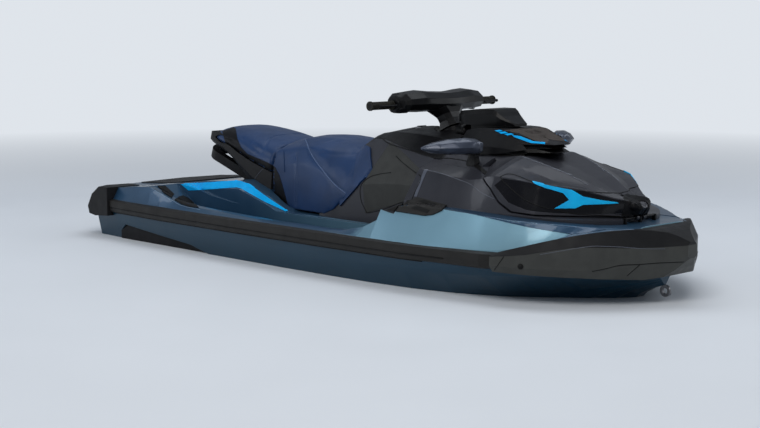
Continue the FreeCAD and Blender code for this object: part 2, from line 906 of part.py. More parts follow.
def neck_ring(height, length, width):
    """Octagon square to the column."""
    centre = column_point(height)
    along = V(math.cos(math.radians(column_tilt)), 0, math.sin(math.radians(column_tilt)))
    corner = 0.55
    ring = []
    for a, b in ((-1, -corner), (-corner, -1), (corner, -1), (1, -corner), (1, corner), (corner, 1), (-corner, 1),
                 (-1, corner)):
        ring.append(centre.add(along * (a * length / 2)).add(V(0, b * width / 2, 0)))
    return Part.makePolygon(ring + ring[:1])


def steering_neck():
    wires = [neck_ring(neck_ring_height + moving_gap, neck_base_length, neck_base_width),
             neck_ring(neck_length * 0.38, neck_base_length * 0.74, neck_base_width * 0.84),
             neck_ring(neck_length * 0.58, neck_base_length * 0.72, neck_base_width),
             neck_ring(neck_length * 0.76, neck_top_length * 0.86, lerp(neck_base_width, neck_top_width, 0.42)),
             neck_ring(neck_length, neck_top_length, neck_top_width)]
    return Part.makeLoft(wires, True, True)


def steering_column():
    """Fixed collar on the console, with the pin that the neck turns on."""
    axis = column_axis()
    collar = Part.makeCylinder(neck_base_width * 0.48, neck_ring_height + overrun, column_point(-overrun), axis)
    pin = Part.makeCylinder(bar_radius, overrun * 1.5, column_point(neck_ring_height), axis)
    return collar.fuse(pin)


def column_bore():
    return Part.makeCylinder(bar_radius + pin_gap, overrun * 1.5 + neck_ring_height + moving_gap, column_point(0),
                             column_axis())


def bar_route():
    return [V(grip_x, -grip_outer, grip_z), V(grip_x, -grip_inner, grip_z), V(bar_x, -pod_inner, bar_z),
            V(bar_x, pod_inner, bar_z), V(grip_x, grip_inner, grip_z), V(grip_x, grip_outer, grip_z)]


def handlebar():
    route = bar_route()
    bar = None
    for start, end in zip(route, route[1:]):
        piece = rod(start, end, bar_radius)
        bar = piece if bar is None else bar.fuse(piece)
    for joint in route[1:-1]:
        bar = bar.fuse(Part.makeSphere(bar_radius, joint))
    return bar


def bar_cover():
    """Deep pad over the bar, its two shoulders higher than its middle."""
    rows = ((-1.0, 0.66, 0.62, 0.0), (-0.92, 0.86, 0.88, 0.03), (-0.60, 1.0, 1.0, 0.06), (-0.30, 0.98, 0.92, 0.03),
            (0.0, 0.96, 0.88, 0.02), (0.30, 0.98, 0.92, 0.03), (0.60, 1.0, 1.0, 0.06), (0.92, 0.86, 0.88, 0.03),
            (1.0, 0.66, 0.62, 0.0))
    outline = ((-0.50, -0.14), (-0.48, 0.20), (-0.34, 0.43), (-0.06, 0.50), (0.26, 0.44), (0.46, 0.18), (0.50, -0.10),
               (0.38, -0.38), (0.05, -0.50), (-0.34, -0.44))
    wires = []
    for station, length_share, height_share, lift_share in rows:
        y = station * cover_half_width
        x = bar_x + cover_length * 0.10 - abs(station) * (bar_x - grip_x)
        z = bar_z + cover_height * lift_share
        ring = [V(x + cover_length * length_share * along, y, z + cover_height * height_share * up)
                for along, up in outline]
        wires.append(Part.makePolygon(ring + ring[:1]))
    return Part.makeLoft(wires, True, True)


def grip():
    start = V(grip_x, -grip_outer, grip_z)
    end = V(grip_x, -grip_inner, grip_z)
    body = rod(start, end, grip_radius)
    flange = rod(start, start.add(V(0, grip_end_length, 0)), grip_end_radius)
    collar = rod(end, end.sub(V(0, grip_end_length, 0)), grip_end_radius)
    return body.fuse([flange, collar])


def switch_pod():
    rows = ((0.0, 0.86), (0.25, 1.0), (0.8, 0.96), (1.0, 0.80))
    wires = []
    for station, share in rows:
        y = -lerp(pod_outer, pod_inner, station)
        x = lerp(grip_x, bar_x, station)
        ring = []
        for index in range(8):
            angle = 2 * math.pi * (index + 0.5) / 8
            ring.append(V(x + pod_radius * share * math.cos(angle), y, grip_z + pod_radius * share * math.sin(angle)))
        wires.append(Part.makePolygon(ring + ring[:1]))
    return Part.makeLoft(wires, True, True)


def lever():
    """Bent lever ahead of the grip, from its pod."""
    start = V(grip_x + pod_radius * 0.6, -pod_outer + grip_end_length, grip_z)
    bend = V(grip_x + lever_reach, -pod_outer - lever_length * 0.25, grip_z)
    end = V(grip_x + lever_reach * 0.9, -pod_outer - lever_length, grip_z)
    return rod(start, bend, lever_radius).fuse([rod(bend, end, lever_radius), Part.makeSphere(lever_radius, bend),
                                                Part.makeSphere(lever_radius * 1.4, end)])


# Jet pump

def ring_body(profile):
    """Revolve an outline of x and radius about the pump's axis."""
    points = [V(x, 0, pump_axis_z + radius) for x, radius in profile]
    face = Part.Face(Part.makePolygon(points + points[:1]))
    return face.revolve(V(0, 0, pump_axis_z), V(1, 0, 0), 360)


def blade(x0, x1, r0, r1, thickness, twist, phase):
    """Twisted blade between two radii, lofted from its leading to its trailing edge."""
    wires = []
    steps = 4
    for index in range(steps + 1):
        share = index / steps
        angle = math.radians(phase + twist * share)
        outward = V(0, math.sin(angle), math.cos(angle))
        across = V(0, math.cos(angle), -math.sin(angle)) * (thickness / 2)
        x = lerp(x0, x1, share)
        axis = V(x, 0, pump_axis_z)
        ring = [axis.add(outward * r0).add(across), axis.add(outward * r1).add(across),
                axis.add(outward * r1).sub(across), axis.add(outward * r0).sub(across)]
        wires.append(Part.makePolygon(ring + ring[:1]))
    return Part.makeLoft(wires, True, True)


def pump_housing():
    barrel = ring_body([(-pump_fore, pump_bore_radius), (-pump_fore, pump_outer_radius),
                        (-pump_aft, pump_outer_radius),
                        (venturi_straight - venturi_aft, venturi_bore_radius + venturi_wall),
                        (-venturi_aft, venturi_bore_radius + venturi_wall), (-venturi_aft, venturi_bore_radius),
                        (venturi_straight - venturi_aft, venturi_bore_radius), (-pump_aft, pump_bore_radius)])
    hub = ring_body([(-stator_fore, 0), (-stator_fore, hub_radius), (-pump_aft, hub_radius * 0.8),
                     (-pump_aft - overrun, hub_tail_radius), (-pump_aft - overrun, 0)])
    housing = barrel.fuse(hub)
    for index in range(stator_count):
        vane = blade(-stator_fore - moving_gap, -pump_aft, hub_radius * 0.7,
                     (pump_bore_radius + pump_outer_radius) / 2, stator_thickness, stator_twist,
                     index * 360 / stator_count)
        housing = housing.fuse(vane)
    housing = housing.cut(rod(V(-stator_fore + overrun, 0, pump_axis_z), V(-pump_aft, 0, pump_axis_z),
                              shaft_radius + pin_gap))
    start = nozzle_sleeve_radius + nozzle_wall
    for side in (-1, 1):
        pin = rod(V(-nozzle_pivot_x, 0, pump_axis_z + side * venturi_bore_radius * 1.1),
                  V(-nozzle_pivot_x, 0, pump_axis_z + side * start), nozzle_pin_radius)
        housing = housing.fuse(pin)
        reach = bucket_half_width + bucket_wall
        boss = rod(V(-bucket_pivot_x, side * (pump_bore_radius + pump_outer_radius) / 2, pump_axis_z),
                   V(-bucket_pivot_x, side * (bucket_half_width - moving_gap), pump_axis_z), bucket_hub_radius)
        peg = rod(V(-bucket_pivot_x, side * (bucket_half_width - moving_gap - fit_gap), pump_axis_z),
                  V(-bucket_pivot_x, side * reach, pump_axis_z), bucket_pin_radius)
        housing = housing.fuse([boss, peg])
    return housing


def impeller():
    hub = ring_body([(-impeller_fore, 0), (-impeller_fore, hub_radius * 0.75), (-impeller_aft, hub_radius),
                     (-impeller_aft, 0)])
    shaft = rod(V(-pump_aft + moving_gap, 0, pump_axis_z), V(-shaft_fore, 0, pump_axis_z), shaft_radius)
    body = hub.fuse(shaft)
    tip = pump_bore_radius - moving_gap
    for index in range(impeller_blade_count):
        body = body.fuse(blade(-impeller_fore - moving_gap, -impeller_aft + moving_gap, hub_radius * 0.6, tip,
                               impeller_blade_thickness, impeller_twist, index * 360 / impeller_blade_count))
    return body


def steering_nozzle():
    inner = nozzle_sleeve_radius
    front = -nozzle_pivot_x + nozzle_sleeve_fore
    neck = -nozzle_pivot_x - nozzle_sleeve_radius / 2
    body = ring_body([(front, inner), (front, inner + nozzle_wall), (neck, inner + nozzle_wall),
                      (-nozzle_aft, nozzle_bore_radius + nozzle_wall), (-nozzle_aft, nozzle_bore_radius),
                      (neck, inner)])
    reach = inner + nozzle_wall + overrun
    return body.cut(rod(V(-nozzle_pivot_x, 0, pump_axis_z - reach), V(-nozzle_pivot_x, 0, pump_axis_z + reach),
                        nozzle_pin_radius + pin_gap))


def bucket_ring(radius, angle):
    angle = math.radians(angle)
    return (-bucket_pivot_x - radius * math.cos(angle), pump_axis_z + radius * math.sin(angle))


def reverse_bucket():
    """Clamshell stowed above the nozzle: a curved shell between two side arms."""
    outer = bucket_inner_radius + bucket_wall
    steps = 6
    angles = [lerp(bucket_start_angle, bucket_end_angle, index / steps) for index in range(steps + 1)]
    shell = [bucket_ring(outer, a) for a in angles] + [bucket_ring(bucket_inner_radius, a) for a in reversed(angles)]
    body = side_prism(shell, -bucket_half_width - bucket_wall, bucket_half_width + bucket_wall)
    arm = [bucket_ring(outer, a) for a in angles]
    arm += [bucket_ring(bucket_hub_radius, bucket_end_angle + 60), bucket_ring(bucket_hub_radius, bucket_start_angle - 60)]
    for side in (-1, 1):
        y = side * bucket_half_width
        cheek = side_prism(arm, y, y + side * bucket_wall)
        hub = rod(V(-bucket_pivot_x, y, pump_axis_z), V(-bucket_pivot_x, y + side * bucket_wall, pump_axis_z),
                  bucket_hub_radius)
        body = body.fuse([cheek, hub])
    reach = bucket_half_width + overrun
    return body.cut(rod(V(-bucket_pivot_x, -reach, pump_axis_z), V(-bucket_pivot_x, reach, pump_axis_z),
                        bucket_pin_radius + pin_gap))


def ride_plate(bottom):
    """Plate that closes the tunnel from below and follows the bottom of the hull."""
    region = block(-hull_half_length, -pump_fore, -tunnel_half_width, tunnel_half_width,
                   -keel_depth - overrun, pump_axis_z - pump_outer_radius)
    upper = bottom.copy()
    upper.translate(V(0, 0, plate_thickness))
    return bottom.common(region).cut(upper)


def intake_grate():
    floor = -keel_depth
    frame = block(-intake_aft, -intake_fore, -intake_half_width, intake_half_width, floor, floor + grate_bar_width)
    inner = block(-intake_aft + grate_bar_width, -intake_fore - grate_bar_width, grate_bar_width - intake_half_width,
                  intake_half_width - grate_bar_width, floor - overrun, floor + overrun)
    frame = frame.cut(inner)
    for index in range(grate_bar_count):
        y = intake_half_width * (2 * (index + 1) / (grate_bar_count + 1) - 1)
        bar = block(-intake_aft + grate_bar_width / 2, -intake_fore - grate_bar_width / 2, y - grate_bar_width / 2,
                    y + grate_bar_width / 2, floor, floor + grate_bar_depth)
        frame = frame.fuse(bar)
    return frame


# Bands, bumper and stern corners

def gunwale_band():
    sections = []
    rows = [row for row in hull_shares if abs(row[0]) < 0.7]
    stations = [-band_aft] + [row[0] * hull_half_length for row in rows if row[0] * hull_half_length < band_fore]
    for x in stations + [band_fore]:
        yf = flange_at(x)
        bottom = join_height - flange_drop
        top = bottom + band_height
        half = [(0, bottom), (yf, bottom), (yf + band_thickness * 0.8, bottom + band_height * 0.1),
                (yf + band_thickness, bottom + band_height * 0.5), (yf + band_thickness * 0.9, top - band_height * 0.1),
                (yf, top), (0, top)]
        sections.append((x, half))
    return body_loft(sections)


def flange_at(x):
    rows = [(row[0] * hull_half_length, row[3] * hull_half_beam) for row in hull_shares]
    for (x0, y0), (x1, y1) in zip(rows, rows[1:]):
        if x0 <= x <= x1:
            return lerp(y0, y1, (x - x0) / (x1 - x0))
    return rows[-1][1]


# Shares of the bumper: station, then top, crease and foot as half breadth and height
bumper_shares = (
    (0.675, (0.955, 0.65), (0.985, 0.615), (0.99, 0.50), (0.955, 0.415)),
    (0.754, (0.84, 0.785), (0.89, 0.665), (0.885, 0.49), (0.85, 0.395)),
    (0.84, (0.64, 0.92), (0.695, 0.77), (0.69, 0.48), (0.655, 0.375)),
    (0.916, (0.355, 0.975), (0.44, 0.76), (0.44, 0.51), (0.40, 0.35)),
    (0.962, (0.13, 0.93), (0.21, 0.755), (0.215, 0.55), (0.18, 0.365)),
    (1.0, (0.025, 0.81), (0.05, 0.77), (0.055, 0.63), (0.03, 0.60)),
)


def bumper_sections(first, last):
    sections = []
    for station, *points in bumper_shares:
        x = station * bumper_length
        chosen = [(y * bumper_half_width, z * bumper_top) for y, z in points[first:last]]
        chosen.reverse()
        half = [(0, chosen[0][1])] + chosen + [(0, chosen[-1][1])]
        sections.append((x, half))
    return sections


def stern_corner():
    """Wrap-round corner, lofted across the boat from its inner end to its outer face."""
    length = corner_reach - band_aft
    shares = ((0.0, 1.0), (0.42, 1.0), (0.78, 0.72), (1.0, 0.30), (0.93, 0.05), (0.62, 0.0), (0.0, 0.05))
    rows = ((corner_inner, 0.86), (lerp(corner_inner, corner_outer, 0.62), 1.0), (corner_outer, 0.66))
    wires = []
    for y, reach in rows:
        ring = []
        for along, up in shares:
            x = -band_aft - along * length * reach
            ring.append(V(x, -y, lerp(corner_foot, corner_height, up)))
        wires.append(Part.makePolygon(ring + ring[:1]))
    return Part.makeLoft(wires, True, True)


# Small fittings

def knee_outline():
    """Outline of the pad on the side of the waist, ahead of the seat."""
    height = waist_height - seat_foot
    return [(waist_fore * 0.20, seat_foot + height * 0.08), (waist_fore * 0.52, seat_foot + height * 0.27),
            (waist_fore * 0.58, seat_foot + height * 0.56), (waist_fore * 0.41, seat_foot + height * 0.71),
            (waist_fore * 0.26, seat_foot + height * 0.83), (waist_fore * 0.17, seat_foot + height * 0.40)]


def vent_outline():
    return [front_point(-0.10, 0.475), front_point(0.05, 0.562), front_point(0.085, 0.59), front_point(0.30, 0.555),
            front_point(0.25, 0.50), front_point(0.165, 0.465)]


def engine_block():
    return block(-engine_aft, engine_length - engine_aft, -engine_half_width, engine_half_width,
                 -engine_floor, engine_top)


def footwell_mat():
    length_aft = well_aft * 0.75
    return block(-length_aft, well_fore * 0.66, -well_outer + mat_margin, -well_inner - mat_margin,
                 well_floor, well_floor + mat_thickness)


def stern_step():
    """Fold-down loop on the transom, stowed upright."""
    top = step_pivot_z + step_arm
    tread = block(-step_pivot_x - step_tread_thickness, -step_pivot_x + step_bar_radius / 2, -step_half_width,
                  step_half_width, top - step_tread_depth, top)
    body = tread
    for side in (-1, 1):
        y = side * (step_half_width - step_bar_radius * 1.2)
        arm = rod(V(-step_pivot_x, y, step_pivot_z), V(-step_pivot_x, y, top - step_tread_depth / 2), step_bar_radius)
        body = body.fuse(arm)
        eye = rod(V(-step_pivot_x, y - step_bar_radius, step_pivot_z), V(-step_pivot_x, y + step_bar_radius, step_pivot_z),
                  step_bar_radius * 1.3)
        body = body.fuse(eye)
    reach = step_half_width + overrun
    return body.cut(rod(V(-step_pivot_x, -reach, step_pivot_z), V(-step_pivot_x, reach, step_pivot_z),
                        step_pin_radius + pin_gap))


def step_bracket(side):
    """Lug on the transom with a pin through the arm's eye."""
    y = side * (step_half_width + moving_gap)
    lug = block(-step_pivot_x - step_lug_radius / 2, -hull_half_length, min(y, y + side * step_lug_width),
                max(y, y + side * step_lug_width), step_pivot_z - step_lug_radius, step_pivot_z + step_lug_radius)
    pin = rod(V(-step_pivot_x, side * (step_half_width - step_bar_radius * 2), step_pivot_z),
              V(-step_pivot_x, y + side * step_lug_width, step_pivot_z), step_pin_radius)
    return lug.fuse(pin)


def towing_eye(centre):
    """Drilled lug, its hole across the boat."""
    start = V(0, eye_thickness / 2, 0)
    lug = Part.makeCylinder(eye_outer_radius, eye_thickness, centre.sub(start), V(0, 1, 0))
    return lug.cut(Part.makeCylinder(eye_hole_radius, eye_thickness, centre.sub(start), V(0, 1, 0)))


def drain_plug():
    centre = V(-hull_half_length, -plug_y, plug_z)
    cap = Part.makeCylinder(plug_radius, plug_height, centre, V(-1, 0, 0))
    grip_bar = block(-hull_half_length - plug_height * 2, -hull_half_length - plug_height, -plug_y - plug_radius * 0.8,
                     -plug_y + plug_radius * 0.8, plug_z - plug_height / 2, plug_z + plug_height / 2)
    return cap.fuse(grip_bar)


def deck_mat(deck_form):
    """Thin mat that follows the stern platform."""
    raised = deck_form.copy()
    raised.translate(V(0, 0, deck_mat_thickness))
    region = block(-deck_mat_aft, -deck_mat_fore, -deck_mat_half_width, deck_mat_half_width, join_height,
                   foredeck_height * 2)
    return raised.common(region)


def sponson():
    """Fin-edged sponson that sits in the recess of the hull's side."""
    outer = sponson_inner()[0] + sponson_depth * 0.3
    body = sponson_form(sponson_outline(0), outer)
    foot = -sponson_foot
    edge = outer + sponson_depth
    fin = [V(-sponson_aft, -outer + sponson_depth, foot), V(-sponson_aft, -edge, foot),
           V(-sponson_aft, -edge, foot + sponson_depth * 0.3), V(-sponson_aft, -outer, foot + sponson_depth),
           V(-sponson_aft, -outer + sponson_depth, foot + sponson_depth)]
    length = (sponson_aft - sponson_fore) * 0.72
    return body.fuse(Part.Face(Part.makePolygon(fin + fin[:1])).extrude(V(length, 0, 0)))


def skin(body, inset_body, outline, clear=()):
    """Plate of the starboard side: the part of a body's skin that lies inside an outline seen from the side."""
    plate = body.common(side_prism(outline, 0, -hull_half_beam - overrun)).cut(inset_body)
    for other in clear:
        plate = plate.cut(other)
    return largest(plate)


def vent(front, deck_form):
    grown = foredeck(-vent_thickness).fuse(front_body(-vent_thickness))
    plate = largest(grown.common(side_prism(vent_outline(), -front_half_width * 0.8, -hull_half_beam)).cut(front).cut(deck_form))
    box = plate.BoundBox
    for index in range(2):
        x = lerp(box.XMin, box.XMax, 0.38 + 0.16 * index)
        z = lerp(box.ZMin, box.ZMax, 0.36 + 0.26 * index)
        slot = side_prism([(x, z), (x + slot_length, z), (x + slot_length * 1.15, z + slot_height),
                           (x + slot_length * 0.15, z + slot_height)], -hull_half_beam, box.YMax)
        plate = plate.cut(slot)
    return largest(plate)


def tub():
    """Outer form of the footwell below the joint of hull and deck."""
    return well_space(deck_wall).common(block(-hull_half_length, hull_half_length, -hull_half_beam, 0,
                                              well_floor - deck_wall, join_height))


def glove_outline(space):
    """Side outline of the lid, its aft edge undercut so that it swings clear, or of the space that it lies in."""
    aft = glove_aft - (glove_swing_gap if space else 0)
    fore = glove_fore + (moving_gap if space else 0)
    undercut = 0 if space else glove_lid_thickness * 0.4
    slope = (glove_top(glove_fore) - glove_top(glove_aft)) / (glove_fore - glove_aft)
    low = glove_top(glove_aft) - glove_lid_thickness - (fit_gap if space else 0)
    top = waist_height + overrun * 2
    return [(aft + undercut, low + slope * (aft + undercut - glove_aft)), (fore, low + slope * (fore - glove_aft)),
            (fore, top), (aft, top), (aft, glove_top(glove_aft) - glove_lid_thickness * 0.3)]


def build():
    parts = {}
    bottom = hull_body()
    corner = stern_corner()
    recess = sponson_recess()
    tubs = pair(tub())
    front = front_body()
    waist = waist_body()

    # Seat first: the pieces round it are cut to it
    seat_front = front_cushion()
    seat_rear = rear_cushion().cut(seat_front)

    # Deck
    forms = deck_upper().fuse([foredeck(), pedestal()])
    deck = forms
    wells = pair(well_space(0))
    for cutter in wells + pair(corner):
        deck = deck.cut(cutter)
    deck = deck.cut(bin_space(0))
    deck = deck.cut(seat_front)

    # Hull
    hull = bottom
    for cutter in [pump_tunnel(), intake_duct(), shaft_bore(), engine_bay(), bin_space(0)]:
        hull = hull.cut(cutter)
    grate = intake_grate()
    hull = hull.cut(block(-intake_aft, -intake_fore, -intake_half_width, intake_half_width, -keel_depth - overrun,
                          -keel_depth + grate_bar_width))
    for cutter in pair(recess) + tubs + pair(corner) + [grate]:
        hull = hull.cut(cutter)
    parts["hull"] = [largest(hull)]
    parts["deck"] = [largest(deck)]
    parts["footwells"] = [largest(form.cut(well)) for form, well in zip(tubs, wells)]

    # Hood and what it carries
    raised = foredeck()
    raised.translate(V(0, 0, fit_gap))
    hood = front.common(hood_space(0)).cut(raised)
    cavity = front_body(lens_thickness * 2.5).common(block(bin_aft, bin_fore, -bin_half_width, bin_half_width,
                                                           foredeck_height * 0.9, front_height))
    hood = hood.cut(cavity)
    trim = block(bin_fore + overrun, front_fore + overrun, -front_half_width, front_half_width,
                 0, hinge_z - moving_gap * 1.4)
    reach = hinge_lug_spacing / 2 + hinge_lug_width + moving_gap * 3
    pocket = block(hinge_x - hinge_lug_radius * 2 - moving_gap, front_fore + overrun, -reach, reach, 0,
                   hinge_z + hinge_lug_radius * 1.5)
    hood = largest(hood.cut(trim).cut(pocket))
    for side in (-1, 1):
        hood = hood.fuse(hood_lug(side * hinge_lug_spacing / 2))
    hood = hood.cut(hood_lug_bore())
    lens = skin(hood, front_body(lens_thickness), outline_of(lens_shares))
    accent = skin(front_body(-accent_thickness), front, outline_of(accent_shares))
    for shape in pair(lens):
        hood = hood.cut(shape)
    top = scoop().cut(hood)
    pod = gauge_pod().cut(hood).cut(top)
    parts["hood"] = [largest(hood)]
    parts["lenses"] = pair(lens)
    parts["lens_accents"] = pair(accent)
    parts["scoop"] = [largest(top)]
    parts["gauge_pod"] = [largest(pod)]
    parts["gauge_screen"] = [gauge_screen()]
    parts["hood_hinge"] = [hood_hinge().cut(deck)]

    # Console, side panels, knee pads and vents round the fixed body
    body = front.fuse(waist).cut(hood_space(moving_gap + fit_gap)).cut(forms).cut(seat_front)
    body = body.cut(bin_space(0)).cut(pocket)
    body = largest(body.cut(Part.makeCylinder(neck_base_width * 0.75, overrun * 3, column_point(moving_gap),
                                              column_axis())))
    panel = skin(body, front_body(panel_thickness), outline_of(panel_shares), [waist])
    pad = skin(body, waist_body(vent_thickness), knee_outline(), [front])
    plate = vent(front.fuse(waist), forms)
    for shape in pair(panel) + pair(pad):
        body = body.cut(shape)
    lid_space = side_prism(glove_outline(True), -glove_half_width - moving_gap,
                           glove_half_width + moving_gap)
    ledge = glove_lid_thickness * 0.4
    cavity = block(glove_aft + ledge, glove_fore - ledge, ledge - glove_half_width, glove_half_width - ledge,
                   glove_floor, waist_height)
    knuckle = rod(V(glove_fore, -glove_knuckle_width, glove_top(glove_fore)),
                  V(glove_fore, glove_knuckle_width, glove_top(glove_fore)), glove_knuckle_radius + moving_gap)
    body = body.cut(lid_space).cut(cavity).cut(knuckle)
    column = steering_column()
    body = body.cut(column)
    lid = waist.common(side_prism(glove_outline(False), -glove_half_width, glove_half_width))
    lid, hinge = glovebox_pieces(lid)
    foot = mirror_foot().cut(body)
    glass = mirror_pod().common(mirror_glass_space())
    mirror = mirror_pod().fuse(foot).cut(glass).cut(body).cut(panel)
    parts["console"] = [largest(body)]
    parts["side_panels"] = pair(panel)
    parts["knee_pads"] = pair(pad)
    parts["side_vents"] = pair(plate)
    parts["glovebox_lid"] = [lid]
    parts["glovebox_hinge"] = [hinge.cut(body)]
    parts["steering_column"] = [column]
    parts["mirrors"] = pair(largest(mirror))
    parts["mirror_glass"] = pair(largest(glass))
    parts["storage_bin"] = [storage_bin()]

    # Seat
    shell = seat_shell()
    for cutter in (seat_front, seat_rear, deck):
        shell = shell.cut(cutter)
    shell = largest(shell)
    parts["seat_front"] = [seat_front]
    parts["seat_rear"] = [largest(seat_rear)]
    parts["seat_shell"] = [shell]
    parts["grab_handle"] = [largest(grab_handle().cut(shell).cut(deck))]

    # Steering
    bar = handlebar()
    cover = bar_cover().cut(bar)
    neck = largest(steering_neck().cut(column_bore()).cut(bar).cut(cover))
    pods = switch_pod().cut(bar).cut(cover)
    parts["steering_neck"] = [neck]
    parts["handlebar"] = [bar]
    parts["bar_cover"] = [largest(cover)]
    parts["switch_pods"] = pair(largest(pods))
    parts["grips"] = pair(grip().cut(bar))
    parts["levers"] = pair(largest(lever().cut(pods).cut(cover)))

    # Drive
    parts["pump_housing"] = [pump_housing()]
    parts["impeller"] = [impeller()]
    parts["steering_nozzle"] = [steering_nozzle()]
    parts["reverse_bucket"] = [reverse_bucket()]
    parts["ride_plate"] = [largest(ride_plate(bottom))]
    parts["intake_grate"] = [grate]
    parts["engine"] = [engine_block()]

    # Bands, bumper and corners
    bodies = bottom.fuse(forms)
    cap = body_loft(bumper_sections(0, 2), 2).cut(bodies)
    lower = body_loft(bumper_sections(1, 4), 2).cut(bodies)
    band = gunwale_band().cut(bodies).cut(lower).cut(cap)
    for shape in pair(corner):
        band = band.cut(shape)
    parts["gunwale_bands"] = sorted(band.Solids, key=lambda solid: -solid.Volume)[:2]
    parts["bow_bumper"] = [largest(lower)]
    parts["bumper_cap"] = [largest(cap)]
    parts["stern_corners"] = pair(corner)

    # Fittings
    parts["deck_mats"] = pair(footwell_mat()) + [largest(deck_mat(forms).cut(forms))]
    parts["sponsons"] = pair(sponson())
    parts["stern_step"] = [stern_step()]
    parts["step_brackets"] = [step_bracket(side) for side in (-1, 1)]
    parts["drain_plugs"] = pair(drain_plug())
    stern = towing_eye(V(-hull_half_length - eye_stand_off, -stern_eye_y, stern_eye_z)).cut(hull)
    bow = towing_eye(V(stem_at(bow_eye_z) + eye_stand_off * 1.3, 0, bow_eye_z - eye_stand_off)).cut(hull)
    parts["towing_eyes"] = pair(largest(stern)) + [largest(bow)]
    return parts


def stem_at(z):
    """Distance along the boat at which the keel line rises to a height."""
    rows = [(row[0] * hull_half_length, hull_height(row[4])) for row in hull_shares]
    for (x0, z0), (x1, z1) in zip(rows, rows[1:]):
        if z0 <= z <= z1:
            return lerp(x0, x1, (z - z0) / (z1 - z0))
    return rows[-1][0]


for name, shapes in build().items():
    save(name, shapes)
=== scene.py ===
import bpy
import bmesh
import json
import math
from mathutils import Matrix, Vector, kdtree
from mathutils.bvhtree import BVHTree


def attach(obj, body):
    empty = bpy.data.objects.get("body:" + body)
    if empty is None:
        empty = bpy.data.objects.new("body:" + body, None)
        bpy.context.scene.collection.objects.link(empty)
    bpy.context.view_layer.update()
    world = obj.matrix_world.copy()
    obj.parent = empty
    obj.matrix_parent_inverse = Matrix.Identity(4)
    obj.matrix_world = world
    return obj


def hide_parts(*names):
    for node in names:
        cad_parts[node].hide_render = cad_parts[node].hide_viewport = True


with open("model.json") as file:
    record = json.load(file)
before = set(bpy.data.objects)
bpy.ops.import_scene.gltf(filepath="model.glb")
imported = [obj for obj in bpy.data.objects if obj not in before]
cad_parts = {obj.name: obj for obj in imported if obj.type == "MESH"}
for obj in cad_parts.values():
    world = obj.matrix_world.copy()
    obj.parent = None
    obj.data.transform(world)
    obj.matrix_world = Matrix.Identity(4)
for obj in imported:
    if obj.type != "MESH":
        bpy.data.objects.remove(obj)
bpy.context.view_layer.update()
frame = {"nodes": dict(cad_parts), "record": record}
NODE_BODY = {node: body for body, nodes in frame["record"]["behaviour"]["bodies"].items() for node in nodes}
SLOT = {part["node"]: part["material_slot"] for part in frame["record"]["subparts"]}
SIDES = (1, -1)  # the side that the photograph shows, then its twin


def lerp(first, second, share):
    if isinstance(first, tuple):
        return tuple(lerp(a, b, share) for a, b in zip(first, second))
    return first + (second - first) * share


def ramp(value, start, run):
    """Share of a run that a value has covered, from 0 to 1."""
    return min(max((value - start) / run, 0.0), 1.0)


def stepped(value, knots, heights):
    """Height at a value on a line through knots, level beyond its ends."""
    if value <= knots[0]:
        return heights[0]
    for k0, k1, h0, h1 in zip(knots, knots[1:], heights, heights[1:]):
        if value <= k1:
            return lerp(h0, h1, (value - k0) / (k1 - k0))
    return heights[-1]


def plain_object(name, data):
    made = bpy.data.objects.new(name, data)
    bpy.context.scene.collection.objects.link(made)
    return made


# Materials

COAT_ROUGHNESS = 0.05
PATCH_SPAN = (0.35, 0.65)  # range of the noise that the patches of colour use
ROUGH_SPAN = (0.3, 0.7)    # and the drift of the roughness
MIX_FIRST, MIX_SECOND, MIX_RESULT = 6, 7, 2  # colour sockets of the Mix node


